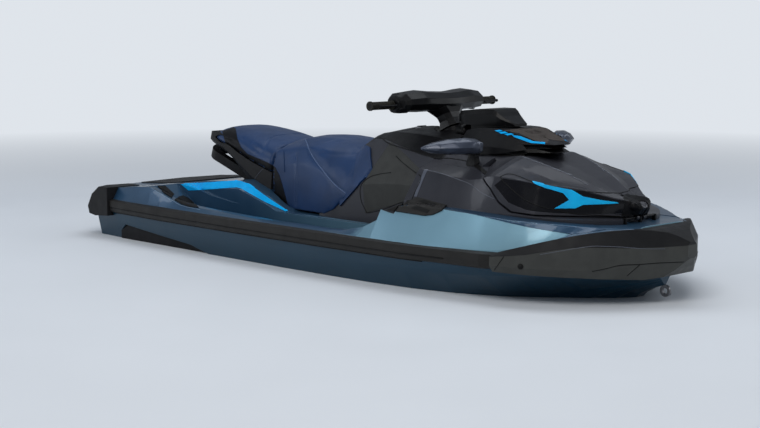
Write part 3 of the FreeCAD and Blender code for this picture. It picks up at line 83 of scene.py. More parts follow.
class Surface:
    """Node material built round one Principled shader."""

    def __init__(self, name, color, roughness, metallic=0.0, coat=0.0, specular=0.5):
        self.name = name
        self.mat = bpy.data.materials.new(name)
        self.mat.use_nodes = True
        self.tree = self.mat.node_tree
        self.shader = self.tree.nodes["Principled BSDF"]
        self.color = color
        for socket, value in (("Metallic", metallic), ("Coat Weight", coat), ("Coat Roughness", COAT_ROUGHNESS),
                              ("Roughness", roughness), ("Specular IOR Level", specular),
                              ("Base Color", (*color, 1))):
            self.shader.inputs[socket].default_value = value
        self.place = self.tree.nodes.new("ShaderNodeNewGeometry").outputs["Position"]
        self.normal = None

    def node(self, kind, **values):
        made = self.tree.nodes.new(kind)
        for key, value in values.items():
            setattr(made, key, value)
        return made

    def link(self, out, into):
        self.tree.links.new(out, into)

    def noise(self, scale, detail=3.0, stretch=None):
        made = self.node("ShaderNodeTexNoise")
        made.inputs["Scale"].default_value = scale
        made.inputs["Detail"].default_value = detail
        self.link(self.stretched(stretch), made.inputs["Vector"])
        return made.outputs["Fac"]

    def stretched(self, stretch):
        if stretch is None:
            return self.place
        made = self.node("ShaderNodeMapping")
        made.inputs["Scale"].default_value = stretch
        self.link(self.place, made.inputs["Vector"])
        return made.outputs["Vector"]

    def span(self, value, low, high, low_out, high_out):
        made = self.node("ShaderNodeMapRange")
        for key, number in (("From Min", low), ("From Max", high), ("To Min", low_out), ("To Max", high_out)):
            made.inputs[key].default_value = number
        self.link(value, made.inputs["Value"])
        return made.outputs["Result"]

    def mix(self, factor, first, second):
        made = self.node("ShaderNodeMix", data_type="RGBA")
        self.link(factor, made.inputs["Factor"])
        for socket, color in ((made.inputs[MIX_FIRST], first), (made.inputs[MIX_SECOND], second)):
            if isinstance(color, tuple):
                socket.default_value = (*color, 1)
            else:
                self.link(color, socket)
        return made.outputs[MIX_RESULT]

    def math(self, operation, *values):
        made = self.node("ShaderNodeMath", operation=operation)
        for socket, value in zip(made.inputs, values):
            if isinstance(value, (int, float)):
                socket.default_value = value
            else:
                self.link(value, socket)
        return made.outputs[0]

    def part(self, vector, axis):
        made = self.node("ShaderNodeSeparateXYZ")
        self.link(vector, made.inputs[0])
        return made.outputs[axis]

    def axis(self, name):
        return self.part(self.place, name)

    def slope(self):
        """Upward part of the face's own direction."""
        return self.part(self.node("ShaderNodeNewGeometry").outputs["True Normal"], "Z")

    def paint(self, color):
        self.link(color, self.shader.inputs["Base Color"])
        return self

    def patches(self, scale):
        return self.span(self.noise(scale), *PATCH_SPAN, 0, 1)

    def shade(self, amount, scale):
        """Slight lighter and darker patches."""
        dark = tuple(c * (1 - amount) for c in self.color)
        light = tuple(min(c * (1 + amount), 1) for c in self.color)
        return self.paint(self.mix(self.patches(scale), dark, light))

    def rough(self, low, high, scale, stretch=None):
        """Roughness that drifts between two values."""
        drift = self.span(self.noise(scale, 4.0, stretch), *ROUGH_SPAN, low, high)
        self.link(drift, self.shader.inputs["Roughness"])
        return self

    def bump(self, height, strength, depth):
        made = self.node("ShaderNodeBump")
        made.inputs["Strength"].default_value = strength
        made.inputs["Distance"].default_value = depth
        self.link(height, made.inputs["Height"])
        if self.normal is not None:
            self.link(self.normal, made.inputs["Normal"])
        self.normal = made.outputs["Normal"]
        self.link(self.normal, self.shader.inputs["Normal"])
        return self

    def soft_edges(self, radius):
        made = self.node("ShaderNodeBevel", samples=4)
        made.inputs["Radius"].default_value = radius
        self.normal = made.outputs["Normal"]
        self.link(self.normal, self.shader.inputs["Normal"])
        return self


def gloss_paint(name, color, metallic=0.3, edge=0.003, coat=0.35, roughness=0.33, specular=0.35):
    """Sprayed paint under a thin clear coat."""
    made = Surface(name, color, roughness, metallic, coat, specular)
    if edge:
        made.soft_edges(edge)
    made.shade(amount=0.05, scale=3.0)
    made.rough(roughness - 0.05, roughness + 0.06, scale=12.0)
    return made.bump(made.noise(1400.0), strength=0.015, depth=0.0005)


def moulded(name, color, roughness=0.5, edge=0.002, specular=0.22):
    """Moulded plastic with a fine grain."""
    made = Surface(name, color, roughness, specular=specular)
    if edge:
        made.soft_edges(edge)
    made.shade(amount=0.10, scale=14.0)
    made.rough(roughness - 0.07, roughness + 0.09, scale=22.0)
    return made.bump(made.noise(900.0), strength=0.16, depth=0.0006)


def metal(name, color, roughness, stretch=None):
    """Bare metal, brushed where its drift is stretched."""
    made = Surface(name, color, roughness, metallic=1.0)
    made.soft_edges(0.0012).shade(amount=0.08, scale=25.0)
    made.rough(roughness - 0.08, roughness + 0.12, 160.0, stretch)
    return made.bump(made.noise(500.0), strength=0.08, depth=0.0005)


REFLECTION_FROM, REFLECTION_TO = -0.6, 1.1  # stations between which the deck's flanks grow lighter with a painted reflection
LEVEL_FROM, LEVEL_TO = 0.72, 0.80  # upward part of the normal between the flank and the top, which is painted shade


def deck_with_painted_light():
    """Painted light on one paint: flanks lighter ahead with a painted reflection, the quarter panels behind
    darker with painted shade, and a top dark with painted shade.
    """
    # Colours of the painted shade on the quarter panels, of the painted reflection on the flanks ahead, and of
    # the painted shade on the top
    shaded_quarters, reflecting_bows, top = (0.022, 0.068, 0.135), (0.23, 0.42, 0.52), (0.030, 0.078, 0.140)
    made = gloss_paint("deck_paint", (0.12, 0.24, 0.31))
    along = made.span(made.axis("X"), REFLECTION_FROM, REFLECTION_TO, 0, 1)
    level = made.span(made.slope(), LEVEL_FROM, LEVEL_TO, 0, 1)
    return made.paint(made.mix(level, made.mix(along, shaded_quarters, reflecting_bows), top))


# The console's black top: breadth at mid length and its growth forward, lowest height and fore end
TOP_REACH, TOP_GROWTH = 0.157, 0.152
TOP_FOOT, TOP_END = 0.45, 0.60


def two_tone_console():
    """Metallic grey flanks with a black top between the shoulders."""
    black, dark, light = (0.006, 0.006, 0.007), (0.028, 0.029, 0.037), (0.036, 0.037, 0.046)
    made = gloss_paint("console_grey", (0.040, 0.040, 0.047), 0.35, coat=0.12, roughness=0.40)
    limit = made.math("MULTIPLY_ADD", made.axis("X"), TOP_GROWTH, TOP_REACH)
    inside = made.math("LESS_THAN", made.math("ABSOLUTE", made.axis("Y")), limit)
    high = made.math("GREATER_THAN", made.axis("Z"), TOP_FOOT)
    aft = made.math("LESS_THAN", made.axis("X"), TOP_END)
    zone = made.math("MULTIPLY", made.math("MULTIPLY", inside, high), aft)
    return made.paint(made.mix(zone, made.mix(made.patches(3.0), dark, light), black))


def vinyl(name, color):
    """Marine vinyl: fine leather grain, soft sheen, lighter where it is rubbed."""
    made = Surface(name, color, 0.5, specular=0.3)
    made.shader.inputs["Sheen Weight"].default_value = 0.06
    made.shader.inputs["Sheen Roughness"].default_value = 0.4
    cells = made.node("ShaderNodeTexVoronoi")
    cells.inputs["Scale"].default_value = 420.0
    made.link(made.place, cells.inputs["Vector"])
    made.shade(amount=0.12, scale=7.0)
    made.rough(0.38, 0.50, scale=18.0)
    made.bump(cells.outputs["Distance"], strength=0.16, depth=0.0006)
    return made.bump(made.noise(60.0), strength=0.05, depth=0.0010)


def ribbed_foam():
    """Closed-cell foam with rows of ribs."""
    made = Surface("mat_foam", (0.018, 0.018, 0.02), 0.85)
    made.shade(amount=0.25, scale=40.0).rough(0.78, 0.92, scale=60.0)
    made.bump(made.math("SINE", made.math("MULTIPLY", made.axis("X"), 260.0)), strength=0.9, depth=0.002)
    return made.bump(made.noise(700.0), strength=0.3, depth=0.0006)


def ribbed_rubber():
    """Grip rubber with rings round the bar."""
    made = Surface("grip_rubber", (0.016, 0.015, 0.011), 0.6, specular=0.2)
    made.shade(amount=0.2, scale=60.0).rough(0.5, 0.7, scale=60.0)
    made.bump(made.math("SINE", made.math("MULTIPLY", made.axis("Y"), 900.0)), strength=0.8, depth=0.0015)
    return made.bump(made.noise(900.0), strength=0.2, depth=0.0005)


def build_materials():
    """All materials by name: those of the slots, then those of single pieces. Laid-on ones have no edge."""
    made = (
        gloss_paint("hull_paint", (0.006, 0.036, 0.066), coat=0.14),
        deck_with_painted_light(),
        two_tone_console(),
        moulded("trim_black", (0.005, 0.005, 0.006), 0.42, specular=0.14),
        moulded("bumper_grey", (0.050, 0.051, 0.047), 0.46),
        gloss_paint("lens_black", (0.003, 0.003, 0.005), 0.0, 0.001, coat=0.12, roughness=0.2, specular=0.2),
        moulded("accent_blue", (0.004, 0.50, 1.0), 0.34),
        vinyl("seat_vinyl", (0.008, 0.034, 0.108)),
        moulded("knee_grey", (0.036, 0.037, 0.035), edge=0.006),
        ribbed_foam(),
        ribbed_rubber(),
        metal("pump_alloy", (0.50, 0.51, 0.53), 0.4),
        metal("steel", (0.22, 0.22, 0.23), 0.35, stretch=(1, 20, 1)),
        gloss_paint("screen", (0.006, 0.007, 0.010), 0.0),
        metal("mirror", (0.85, 0.87, 0.9), 0.12),
        metal("engine_alloy", (0.25, 0.25, 0.26), 0.5),
        moulded("piping", (0.10, 0.15, 0.27), edge=0),
        moulded("stripe_blue", (0.0, 0.42, 0.95), 0.34, 0, specular=0.12),
        moulded("badge_brown", (0.050, 0.040, 0.034), 0.6, 0),
        # Darker deck paint for the strip along the deck's top: painted shade
        gloss_paint("deck_shade_paint", (0.018, 0.058, 0.115), edge=0),
        # Black of real gaps and joints, and of painted shade in recesses, in the scoop's mouth and under the
        # bands
        moulded("gap_and_shade_black", (0.004, 0.004, 0.004), 0.6, 0),
        # Light grey laid along creases and edges: painted highlights
        gloss_paint("painted_highlight_grey", (0.10, 0.11, 0.14), edge=0),
        # Pale blue laid along edges: painted highlights
        gloss_paint("painted_highlight_blue", (0.16, 0.25, 0.36), edge=0),
        gloss_paint("cover_black", (0.004, 0.004, 0.0045), 0.0, coat=0.06, roughness=0.36, specular=0.16),
        moulded("cap_grey", (0.013, 0.013, 0.014), edge=0.003, specular=0.16),
        moulded("band_grey", (0.020, 0.019, 0.018), edge=0.003, specular=0.18),
        gloss_paint("mirror_shell", (0.055, 0.066, 0.095), 0.5),
    )
    return {surface.name: surface.mat for surface in made}


# Pieces taken over from the frame

# Hood: station, height of its foot, breadths of its three creases, falls from the middle outwards, and the
# share of its breadth
HOOD_ROWS = (
    (0.60, 0.345, (0.150, 0.235, 0.350), (0.0, 0.0, 0.0, 0.0), 1.0),
    (0.82, 0.342, (0.190, 0.292, 0.352), (-0.012, -0.006, -0.014, 0.0), 1.0),
    (0.90, 0.339, (0.185, 0.295, 0.357), (-0.026, -0.014, -0.030, 0.0), 1.0),
    (1.00, 0.336, (0.160, 0.248, 0.358), (-0.038, -0.024, -0.047, -0.002), 1.0),
    (1.10, 0.334, (0.146, 0.232, 0.336), (-0.050, -0.038, -0.056, -0.004), 0.99),
    (1.20, 0.332, (0.130, 0.212, 0.310), (-0.062, -0.050, -0.054, -0.006), 0.95),
    (1.31, 0.330, (0.108, 0.181, 0.257), (-0.064, -0.049, -0.046, -0.012), 0.74),
    (1.40, 0.329, (0.079, 0.135, 0.188), (-0.062, -0.046, -0.050, -0.030), 0.52),
    (1.44, 0.328, (0.062, 0.105, 0.145), (-0.056, -0.042, -0.046, -0.028), 0.43),
    (1.50, 0.328, (0.030, 0.055, 0.077), (-0.044, -0.032, -0.034, -0.020), 0.40),
)
FALL_RISE = 0.12  # height above the foot at which the falls are full
NOSE_REACH = 0.024  # how far the nose is drawn out, growing over these runs of length and height
NOSE_START, NOSE_RUN = 1.34, 0.12
NOSE_FOOT, NOSE_RISE = 0.340, 0.06


def shape_hood(point):
    """Lower top between two ridges, and a nose drawn in to a point."""
    stations = [row[0] for row in HOOD_ROWS]
    foot, creases, falls, breadth = (stepped(point.x, stations, [row[k] for row in HOOD_ROWS])
                                     for k in (1, 2, 3, 4))
    fall = stepped(abs(point.y), (0.0,) + creases, falls)
    drawn = NOSE_REACH * ramp(point.x, NOSE_START, NOSE_RUN) * ramp(point.z, NOSE_FOOT, NOSE_RISE)
    return Vector((point.x + drawn, point.y * breadth, point.z + fall * ramp(point.z, foot, FALL_RISE)))


WELD = 0.00002
HOOD_EDGES = (0.12, 0.06, 0.03)  # longest edges left by each round of division


def smooth_copy(node, material, angle, reshaped=False):
    """The node's own surface, welded, with smooth shading between its creases."""
    mesh = frame["nodes"][node].data.copy()
    mesh.name = node + "_skin"
    piece = plain_object(node + "_skin", mesh)
    form = bmesh.new()
    form.from_mesh(mesh)
    bmesh.ops.remove_doubles(form, verts=form.verts, dist=WELD)
    if reshaped:
        for longest in HOOD_EDGES:
            split_long(form, longest)
        for vert in form.verts:
            vert.co = shape_hood(vert.co)
        form.normal_update()
    limit = math.radians(angle)
    for edge in form.edges:
        edge.smooth = len(edge.link_faces) == 2 and edge.calc_face_angle(0) < limit
    for face in form.faces:
        face.smooth = True
    form.to_mesh(mesh)
    form.free()
    if "custom_normal" in mesh.attributes:
        mesh.attributes.remove(mesh.attributes["custom_normal"])
    mesh.materials.clear()
    mesh.materials.append(material)
    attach(piece, NODE_BODY[node])
    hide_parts(node)
    return piece


def dress_nodes():
    """Gives every node of the frame its slot's material."""
    for node, piece in frame["nodes"].items():
        piece.data.materials.clear()
        piece.data.materials.append(materials[SLOT[node]])


POD_START, POD_RUN = 0.56, 0.24
POD_AFT, POD_NOSE = 0.86, 0.58  # shares of its breadth


def slim_pod(point):
    """Gauge pod drawn in towards its nose."""
    share = lerp(POD_AFT, POD_NOSE, ramp(point.x, POD_START, POD_RUN))
    return Vector((point.x, point.y * share, point.z))


LEAF_FOOT, LEAF_BLEND, LEAF_MIDDLE = 0.556, 0.016, 0.590  # heights of a mirror's leaf
LEAF_GROWTH, LEAF_DROP = 0.35, 0.005
LEAF_FRONT, STALK_X, STALK_SHARE = 0.852, 0.80, 0.6


def full_mirror(point):
    """Deeper, lower leaf with a blunt fore end on a slimmer stalk."""
    leaf = ramp(point.z, LEAF_FOOT, LEAF_BLEND)
    x = lerp(STALK_X + (point.x - STALK_X) * STALK_SHARE, min(point.x, LEAF_FRONT), leaf)
    return Vector((x, point.y, point.z + leaf * (LEAF_GROWTH * (point.z - LEAF_MIDDLE) - LEAF_DROP)))


# Camera, floor and light

HEADING = math.radians(45.716)
PITCH = math.radians(7.2865)
EYE = Vector((4.9825, -4.8951, 1.0957))
FORWARD = Vector((-math.sin(HEADING) * math.cos(PITCH), math.cos(HEADING) * math.cos(PITCH),
                  -math.sin(PITCH)))
RIGHT = FORWARD.cross(Vector((0, 0, 1))).normalized()
UP = RIGHT.cross(FORWARD)
FOCAL = 1478
FRAME_WIDTH, FRAME_HEIGHT = 760, 428
SENSOR = 36
FAR_CLIP = 300
BACKDROP = (0.74, 0.78, 0.83, 1)
FLOOR_REACH = 60
FADE_START, FADE_END = 3.2, 9.0  # distances at which the floor takes on the backdrop's colour
WORLD_STRENGTH = 0.36
SKY_FOOT, SKY_TOP = (0.80, 0.84, 0.90, 1), (0.40, 0.48, 0.60, 1)


def build_camera():
    camera = plain_object("camera", bpy.data.cameras.new("camera"))
    camera.location = EYE
    camera.rotation_euler = FORWARD.to_track_quat("-Z", "Y").to_euler()
    camera.data.sensor_width = SENSOR
    camera.data.lens = SENSOR * FOCAL / FRAME_WIDTH
    camera.data.clip_end = FAR_CLIP
    bpy.context.scene.camera = camera


def build_floor():
    """Pale floor that fades to the backdrop's colour away from the craft."""
    mesh = bpy.data.meshes.new("floor")
    corners = [(x * FLOOR_REACH, y * FLOOR_REACH, 0) for x, y in ((-1, -1), (1, -1), (1, 1), (-1, 1))]
    mesh.from_pydata(corners, [], [(0, 1, 2, 3)])
    floor = plain_object("floor", mesh)
    surface = Surface("floor", (0.80, 0.83, 0.87), 0.6)
    surface.shade(amount=0.01, scale=0.6).rough(0.55, 0.65, scale=3.0)
    far = surface.node("ShaderNodeVectorMath", operation="LENGTH")
    surface.link(surface.place, far.inputs[0])
    fade = surface.span(far.outputs["Value"], FADE_START, FADE_END, 0.0, 1.0)
    paths = surface.node("ShaderNodeLightPath")
    seen = surface.math("MAXIMUM", paths.outputs["Is Camera Ray"], paths.outputs["Is Glossy Ray"])
    seen = surface.math("MAXIMUM", seen, paths.outputs["Is Transmission Ray"])
    glow = surface.node("ShaderNodeEmission")
    glow.inputs["Color"].default_value = BACKDROP
    blend = surface.node("ShaderNodeMixShader")
    surface.link(surface.math("MULTIPLY", fade, seen), blend.inputs["Fac"])
    surface.link(surface.shader.outputs[0], blend.inputs[1])
    surface.link(glow.outputs[0], blend.inputs[2])
    surface.link(blend.outputs[0], surface.tree.nodes["Material Output"].inputs["Surface"])
    mesh.materials.append(surface.mat)


def build_world():
    """Sky that lights the craft, and the plain backdrop that the camera sees."""
    world = bpy.data.worlds.new("studio")
    bpy.context.scene.world = world
    world.use_nodes = True
    tree = world.node_tree
    shown = tree.nodes["Background"]
    shown.inputs["Color"].default_value = BACKDROP
    shown.inputs["Strength"].default_value = 1.0
    light = tree.nodes.new("ShaderNodeBackground")
    light.inputs["Strength"].default_value = WORLD_STRENGTH
    place = tree.nodes.new("ShaderNodeTexCoord")
    split = tree.nodes.new("ShaderNodeSeparateXYZ")
    sky = tree.nodes.new("ShaderNodeValToRGB")
    sky.color_ramp.elements[0].color = SKY_FOOT
    sky.color_ramp.elements[1].color = SKY_TOP
    paths = tree.nodes.new("ShaderNodeLightPath")
    seen = tree.nodes.new("ShaderNodeMath")
    seen.operation = "MAXIMUM"
    blend = tree.nodes.new("ShaderNodeMixShader")
    for out, into in ((place.outputs["Generated"], split.inputs[0]), (split.outputs["Z"], sky.inputs["Fac"]),
                      (sky.outputs["Color"], light.inputs["Color"]),
                      (paths.outputs["Is Camera Ray"], seen.inputs[0]),
                      (paths.outputs["Is Transmission Ray"], seen.inputs[1]),
                      (seen.outputs[0], blend.inputs["Fac"]), (light.outputs[0], blend.inputs[1]),
                      (shown.outputs[0], blend.inputs[2]),
                      (blend.outputs[0], tree.nodes["World Output"].inputs["Surface"])):
        tree.links.new(out, into)


# Lamps: name, place, target, size, power, colour
LAMPS = (
    ("key", (3.6, -4.6, 6.4), (0.2, 0, 0.3), (5.0, 3.5), 230, (1.0, 0.98, 0.95)),
    ("top", (-0.6, 1.2, 6.0), (0, 0, 0.3), (7.0, 3.0), 140, (0.92, 0.96, 1.0)),
    ("side", (-4.4, -5.0, 3.0), (-0.6, 0, 0.2), (4.0, 2.6), 95, (0.90, 0.95, 1.0)),
    ("rim", (4.0, 5.0, 3.4), (0.6, 0, 0.4), (5.0, 2.0), 80, (0.92, 0.96, 1.0)),
)


def build_lights():
    for name, place, target, size, power, color in LAMPS:
        lamp = bpy.data.lights.new(name, "AREA")
        lamp.shape = "RECTANGLE"
        lamp.size, lamp.size_y = size
        lamp.energy = power
        lamp.color = color
        made = plain_object(name, lamp)
        made.location = place
        made.rotation_euler = (Vector(target) - Vector(place)).to_track_quat("-Z", "Y").to_euler()


# Lines and panels laid on the surfaces

def search_tree(*pieces):
    """Search tree over the surfaces of frame nodes or of made pieces."""
    points, faces = [], []
    for piece in pieces:
        mesh = (frame["nodes"][piece] if isinstance(piece, str) else piece).data
        first = len(points)
        points.extend(vertex.co.copy() for vertex in mesh.vertices)
        faces.extend([first + index for index in face.vertices] for face in mesh.polygons)
    return BVHTree.FromPolygons(points, faces)


def sight(px, py):
    """Direction from the eye through a point of the picture."""
    ray = FORWARD + RIGHT * ((px - FRAME_WIDTH / 2) / FOCAL) - UP * ((py - FRAME_HEIGHT / 2) / FOCAL)
    return ray.normalized()


def touch(tree, px, py, lift, side=1):
    """Point just above the surface seen at a picture point, or its twin on the other side."""
    flip = Vector((1, side, 1))
    ray = sight(px, py) * flip
    hit, normal = tree.ray_cast(EYE * flip, ray)[:2]
    if hit is None:
        return None
    if normal.dot(ray) > 0:
        normal = -normal
    return hit + normal * lift


PROBE = 0.01  # length over which a surface's direction is taken


def spot_on(tree, place, side=1):
    """Point of a surface at a picture point, and the direction in which it faces."""
    spot = touch(tree, *place, 0.0, side)
    return spot, (touch(tree, *place, PROBE, side) - spot).normalized()


def resample(points, step):
    """Points of the same line at even steps, rounded through its corners."""
    fine = []
    last = len(points) - 1
    for i in range(last):
        before, start, end, after = points[max(i - 1, 0)], points[i], points[i + 1], points[min(i + 2, last)]
        pieces = max(int((end - start).length / step), 1)
        for j in range(pieces):
            t = j / pieces
            fine.append(0.5 * (2 * start + (end - before) * t
                               + (2 * before - 5 * start + 4 * end - after) * t * t
                               + (3 * start - before - 3 * end + after) * t ** 3))
    fine.append(points[-1])
    return fine


TRACE_STEP = 1.0  # in picture points, like all lines and outlines


def trace(tree, line, lift, side=1):
    """Picture line laid on a surface, as points in the frame."""
    points = resample([Vector(point) for point in line], TRACE_STEP)
    found = [touch(tree, point.x, point.y, lift, side) for point in points]
    return [point for point in found if point is not None]


def tube(form, path, radius, sides=6):
    """Adds a round cord along a path to a mesh being built."""
    rings = []
    across = None
    last = len(path) - 1
    for i, point in enumerate(path):
        along = path[min(i + 1, last)] - path[max(i - 1, 0)]
        along.normalize()
        if across is None:
            across = along.orthogonal()
        across = (across - along * across.dot(along)).normalized()
        other = along.cross(across)
        ring = []
        for k in range(sides):
            turn = 2 * math.pi * k / sides
            ring.append(form.verts.new(point + (across * math.cos(turn) + other * math.sin(turn)) * radius))
        rings.append(ring)
    close_rings(form, rings)


def close_rings(form, rings):
    """Faces between rings of the same count, and one over each end."""
    for first, second in zip(rings, rings[1:]):
        for k in range(len(first)):
            after = (k + 1) % len(first)
            form.faces.new((first[k], first[after], second[after], second[k]))
    form.faces.new(list(reversed(rings[0])))
    form.faces.new(rings[-1])


def split_long(form, longest):
    """Halves the edges longer than a length. False when there are none."""
    edges = [edge for edge in form.edges if edge.calc_length() > longest]
    if edges:
        bmesh.ops.subdivide_edges(form, edges=edges, cuts=1)
        bmesh.ops.triangulate(form, faces=[face for face in form.faces if len(face.verts) > 3])
    return bool(edges)


def finish_piece(form, name, body, slot, material=None, smooth=True):
    """Turns a built mesh into a piece that rides on a body. Without smooth its faces stay as they were."""
    bmesh.ops.recalc_face_normals(form, faces=form.faces)
    mesh = bpy.data.meshes.new(name)
    form.to_mesh(mesh)
    form.free()
    if smooth:
        for face in mesh.polygons:
            face.use_smooth = True
    mesh.materials.append(materials[material or slot])
    piece = plain_object(name, mesh)
    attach(piece, body)
    return piece


SMOOTHING_ROUNDS = 2
STAND_OFF = 0.4       # share of its radius that a line's middle stands off the surface
PANEL_ROUNDS = 6      # most rounds of division of a panel
LONGEST_FACE = 0.12   # a face longer than this spans a gap in the surface and is left out
SKIRT_DEPTH = 0.0012  # how far a panel's rim goes below the surface


def lines(name, tree, traced, radius, body, slot, material=None, lift=None):
    """Round lines laid on a surface along picture lines, on both sides of the craft."""
    form = bmesh.new()
    for line in traced:
        for side in SIDES:
            path = trace(tree, line, radius * STAND_OFF if lift is None else lift, side)
            if len(path) > 2:
                for _ in range(SMOOTHING_ROUNDS):
                    middle = [(a + 2 * b + c) / 4 for a, b, c in zip(path, path[1:], path[2:])]
                    path = [path[0]] + middle + [path[-1]]
                tube(form, path, radius)
    return finish_piece(form, name, body, slot, material)


def flat_mesh(outline, step):
    """Picture outline as a flat mesh of small triangles."""
    flat = bmesh.new()
    flat.faces.new([flat.verts.new((px, py, 0)) for px, py in outline])
    flat.normal_update()
    bmesh.ops.triangulate(flat, faces=flat.faces)
    for _ in range(PANEL_ROUNDS):
        if not split_long(flat, step):
            break
    flat.verts.index_update()
    return flat


def panel(name, tree, outlines, body, slot, material=None, lift=0.0012, step=2.0):
    """Thin panels laid on a surface inside picture outlines, on both sides of the craft."""
    form = bmesh.new()
    outward = {}
    for outline in outlines:
        flat = flat_mesh(outline, step)
        for side in SIDES:
            made = []
            for vert in flat.verts:
                base, top = (touch(tree, vert.co.x, vert.co.y, height, side) for height in (0.0, lift))
                made.append(form.verts.new(top) if top is not None else None)
                if top is not None:
                    outward[made[-1]] = (top - base).normalized()
            for face in flat.faces:
                corners = [made[vert.index] for vert in face.verts]
                if None in corners:
                    continue
                if max((a.co - b.co).length for a in corners for b in corners) < LONGEST_FACE:
                    form.faces.new(corners)
        flat.free()
    form.normal_update()
    for face in form.faces:
        face.smooth = True
    rim = [edge for edge in form.edges if len(edge.link_faces) == 1]
    inward = {}
    for edge in rim:
        for vert in edge.verts:
            if vert not in inward:
                inward[vert] = form.verts.new(vert.co - outward[vert] * (lift + SKIRT_DEPTH))
    for edge in rim:
        first, second = edge.verts
        skirt = form.faces.new((first, second, inward[second], inward[first]))
        skirt.smooth = False
        edge.smooth = False
    return finish_piece(form, name, body, slot, material, smooth=False)


BAND_AFT, BAND_FORE, BAND_STEPS = -1.52, 0.93, 60
OUTSIDE = 2.0  # distance abeam from which the rays start


def groove(name, source, height, radius):
    """Dark line along both sides of a piece at one height."""
    form = bmesh.new()
    tree = search_tree(source)
    for side in SIDES:
        path = []
        for number in range(BAND_STEPS + 1):
            x = BAND_AFT + (BAND_FORE - BAND_AFT) * number / BAND_STEPS
            hit = tree.ray_cast(Vector((x, side * OUTSIDE, height)), Vector((0, -side, 0)))[0]
            if hit is not None:
                path.append(hit)
        tube(form, path, radius)
    return finish_piece(form, name, "craft", "trim_black", "gap_and_shade_black")


def clipped(name, source, cuts, slot, material, lift):
    """Part of a skin kept on one side of each plane, lifted a little."""
    form = bmesh.new()
    form.from_mesh(source.data)
    for place, normal in cuts:
        bmesh.ops.bisect_plane(form, geom=list(form.verts) + list(form.edges) + list(form.faces),
                               plane_co=place, plane_no=normal, clear_outer=True)
    form.normal_update()
    for vert in form.verts:
        vert.co += vert.normal * lift
    return finish_piece(form, name, "craft", slot, material, smooth=False)


def shifted(name, source, share, fall, material):
    """Smaller, lower twin of a skin, drawn in about its own middle length."""
    form = bmesh.new()
    form.from_mesh(source.data)
    stations = [vertex.co.x for vertex in source.data.vertices]
    middle = (min(stations) + max(stations)) / 2
    for vert in form.verts:
        vert.co = Vector((middle + (vert.co.x - middle) * share, vert.co.y * share, vert.co.z - fall))
    return finish_piece(form, name, "hood", "trim_black", material, smooth=False)


# Cushions

VOXEL = 0.008
SHRINK = 0.003  # how far the skin is taken in before it swells
SWELL_LIMIT = 0.008
HELD_HALF, HELD_FADE = 0.004, 0.012  # held in fully this near a seam, and less over the next stretch
FOOT_BAND = 0.012  # the skin is held this far up from its foot too
SEAM_GROOVE, CREASE_GROOVE = (0.0035, 0.007), (0.0030, 0.014)  # depth, half breadth
CLOTH = {"quality": 5, "mass": 0.3, "tension_stiffness": 40, "compression_stiffness": 40, "shear_stiffness": 20,
         "bending_stiffness": 4, "use_pressure": True, "uniform_pressure_force": 1.2, "vertex_group_mass": "held"}
CLOTH_FRAMES = 20


def point_tree(points):
    """Search tree for the nearest of some points."""
    tree = kdtree.KDTree(len(points))
    for index, point in enumerate(points):
        tree.insert(point, index)
    tree.balance()
    return tree


def baked(piece):
    """Applies a piece's modifiers to its mesh and removes them."""
    graph = bpy.context.evaluated_depsgraph_get()
    mesh = bpy.data.meshes.new_from_object(piece.evaluated_get(graph))
    piece.modifiers.clear()
    old = piece.data
    piece.data = mesh
    bpy.data.meshes.remove(old)


def relax(mesh, rounds):
    """Evens out a mesh."""
    form = bmesh.new()
    form.from_mesh(mesh)
    for _ in range(rounds):
        bmesh.ops.smooth_vert(form, verts=form.verts, factor=0.5, use_axis_x=True, use_axis_y=True,
                              use_axis_z=True)
    form.to_mesh(mesh)
    form.free()


# Front seat: station, then half section from its foot up to the middle of its top
FRONT_ROWS = (
    (-0.556, (0.235, 0.215), (0.238, 0.36), (0.234, 0.42), (0.214, 0.485), (0.13, 0.520), (0.0, 0.526)),
    (-0.48, (0.248, 0.213), (0.250, 0.36), (0.240, 0.43), (0.205, 0.500), (0.125, 0.537), (0.0, 0.545)),
    (-0.40, (0.262, 0.212), (0.262, 0.36), (0.248, 0.43), (0.205, 0.510), (0.125, 0.556), (0.0, 0.563)),
    (-0.30, (0.272, 0.212), (0.270, 0.36), (0.255, 0.44), (0.208, 0.520), (0.13, 0.560), (0.0, 0.568)),
    (-0.20, (0.280, 0.213), (0.277, 0.32), (0.262, 0.42), (0.212, 0.512), (0.13, 0.553), (0.0, 0.559)),
    (-0.12, (0.290, 0.214), (0.287, 0.30), (0.266, 0.41), (0.210, 0.500), (0.13, 0.541), (0.0, 0.548)),
    (-0.05, (0.298, 0.240), (0.296, 0.31), (0.272, 0.40), (0.212, 0.492), (0.13, 0.528), (0.0, 0.534)),
    (0.02, (0.304, 0.292), (0.301, 0.34), (0.274, 0.40), (0.214, 0.486), (0.12, 0.512), (0.0, 0.518)),
    (0.075, (0.306, 0.340), (0.302, 0.36), (0.284, 0.40), (0.222, 0.482), (0.11, 0.494), (0.0, 0.500)),
)


def saddle_mesh(rows):
    """Closed form lofted through half sections and their twins."""
    form = bmesh.new()
    rings = []
    for x, *points in rows:
        half = [(0.0, points[0][1])] + points
        ring = half + [(-y, z) for y, z in reversed(half[1:-1])]
        rings.append([form.verts.new((x, y, z)) for y, z in ring])
    close_rings(form, rings)
    bmesh.ops.recalc_face_normals(form, faces=form.faces)
    mesh = bpy.data.meshes.new("saddle")
    form.to_mesh(mesh)
    form.free()
    return mesh


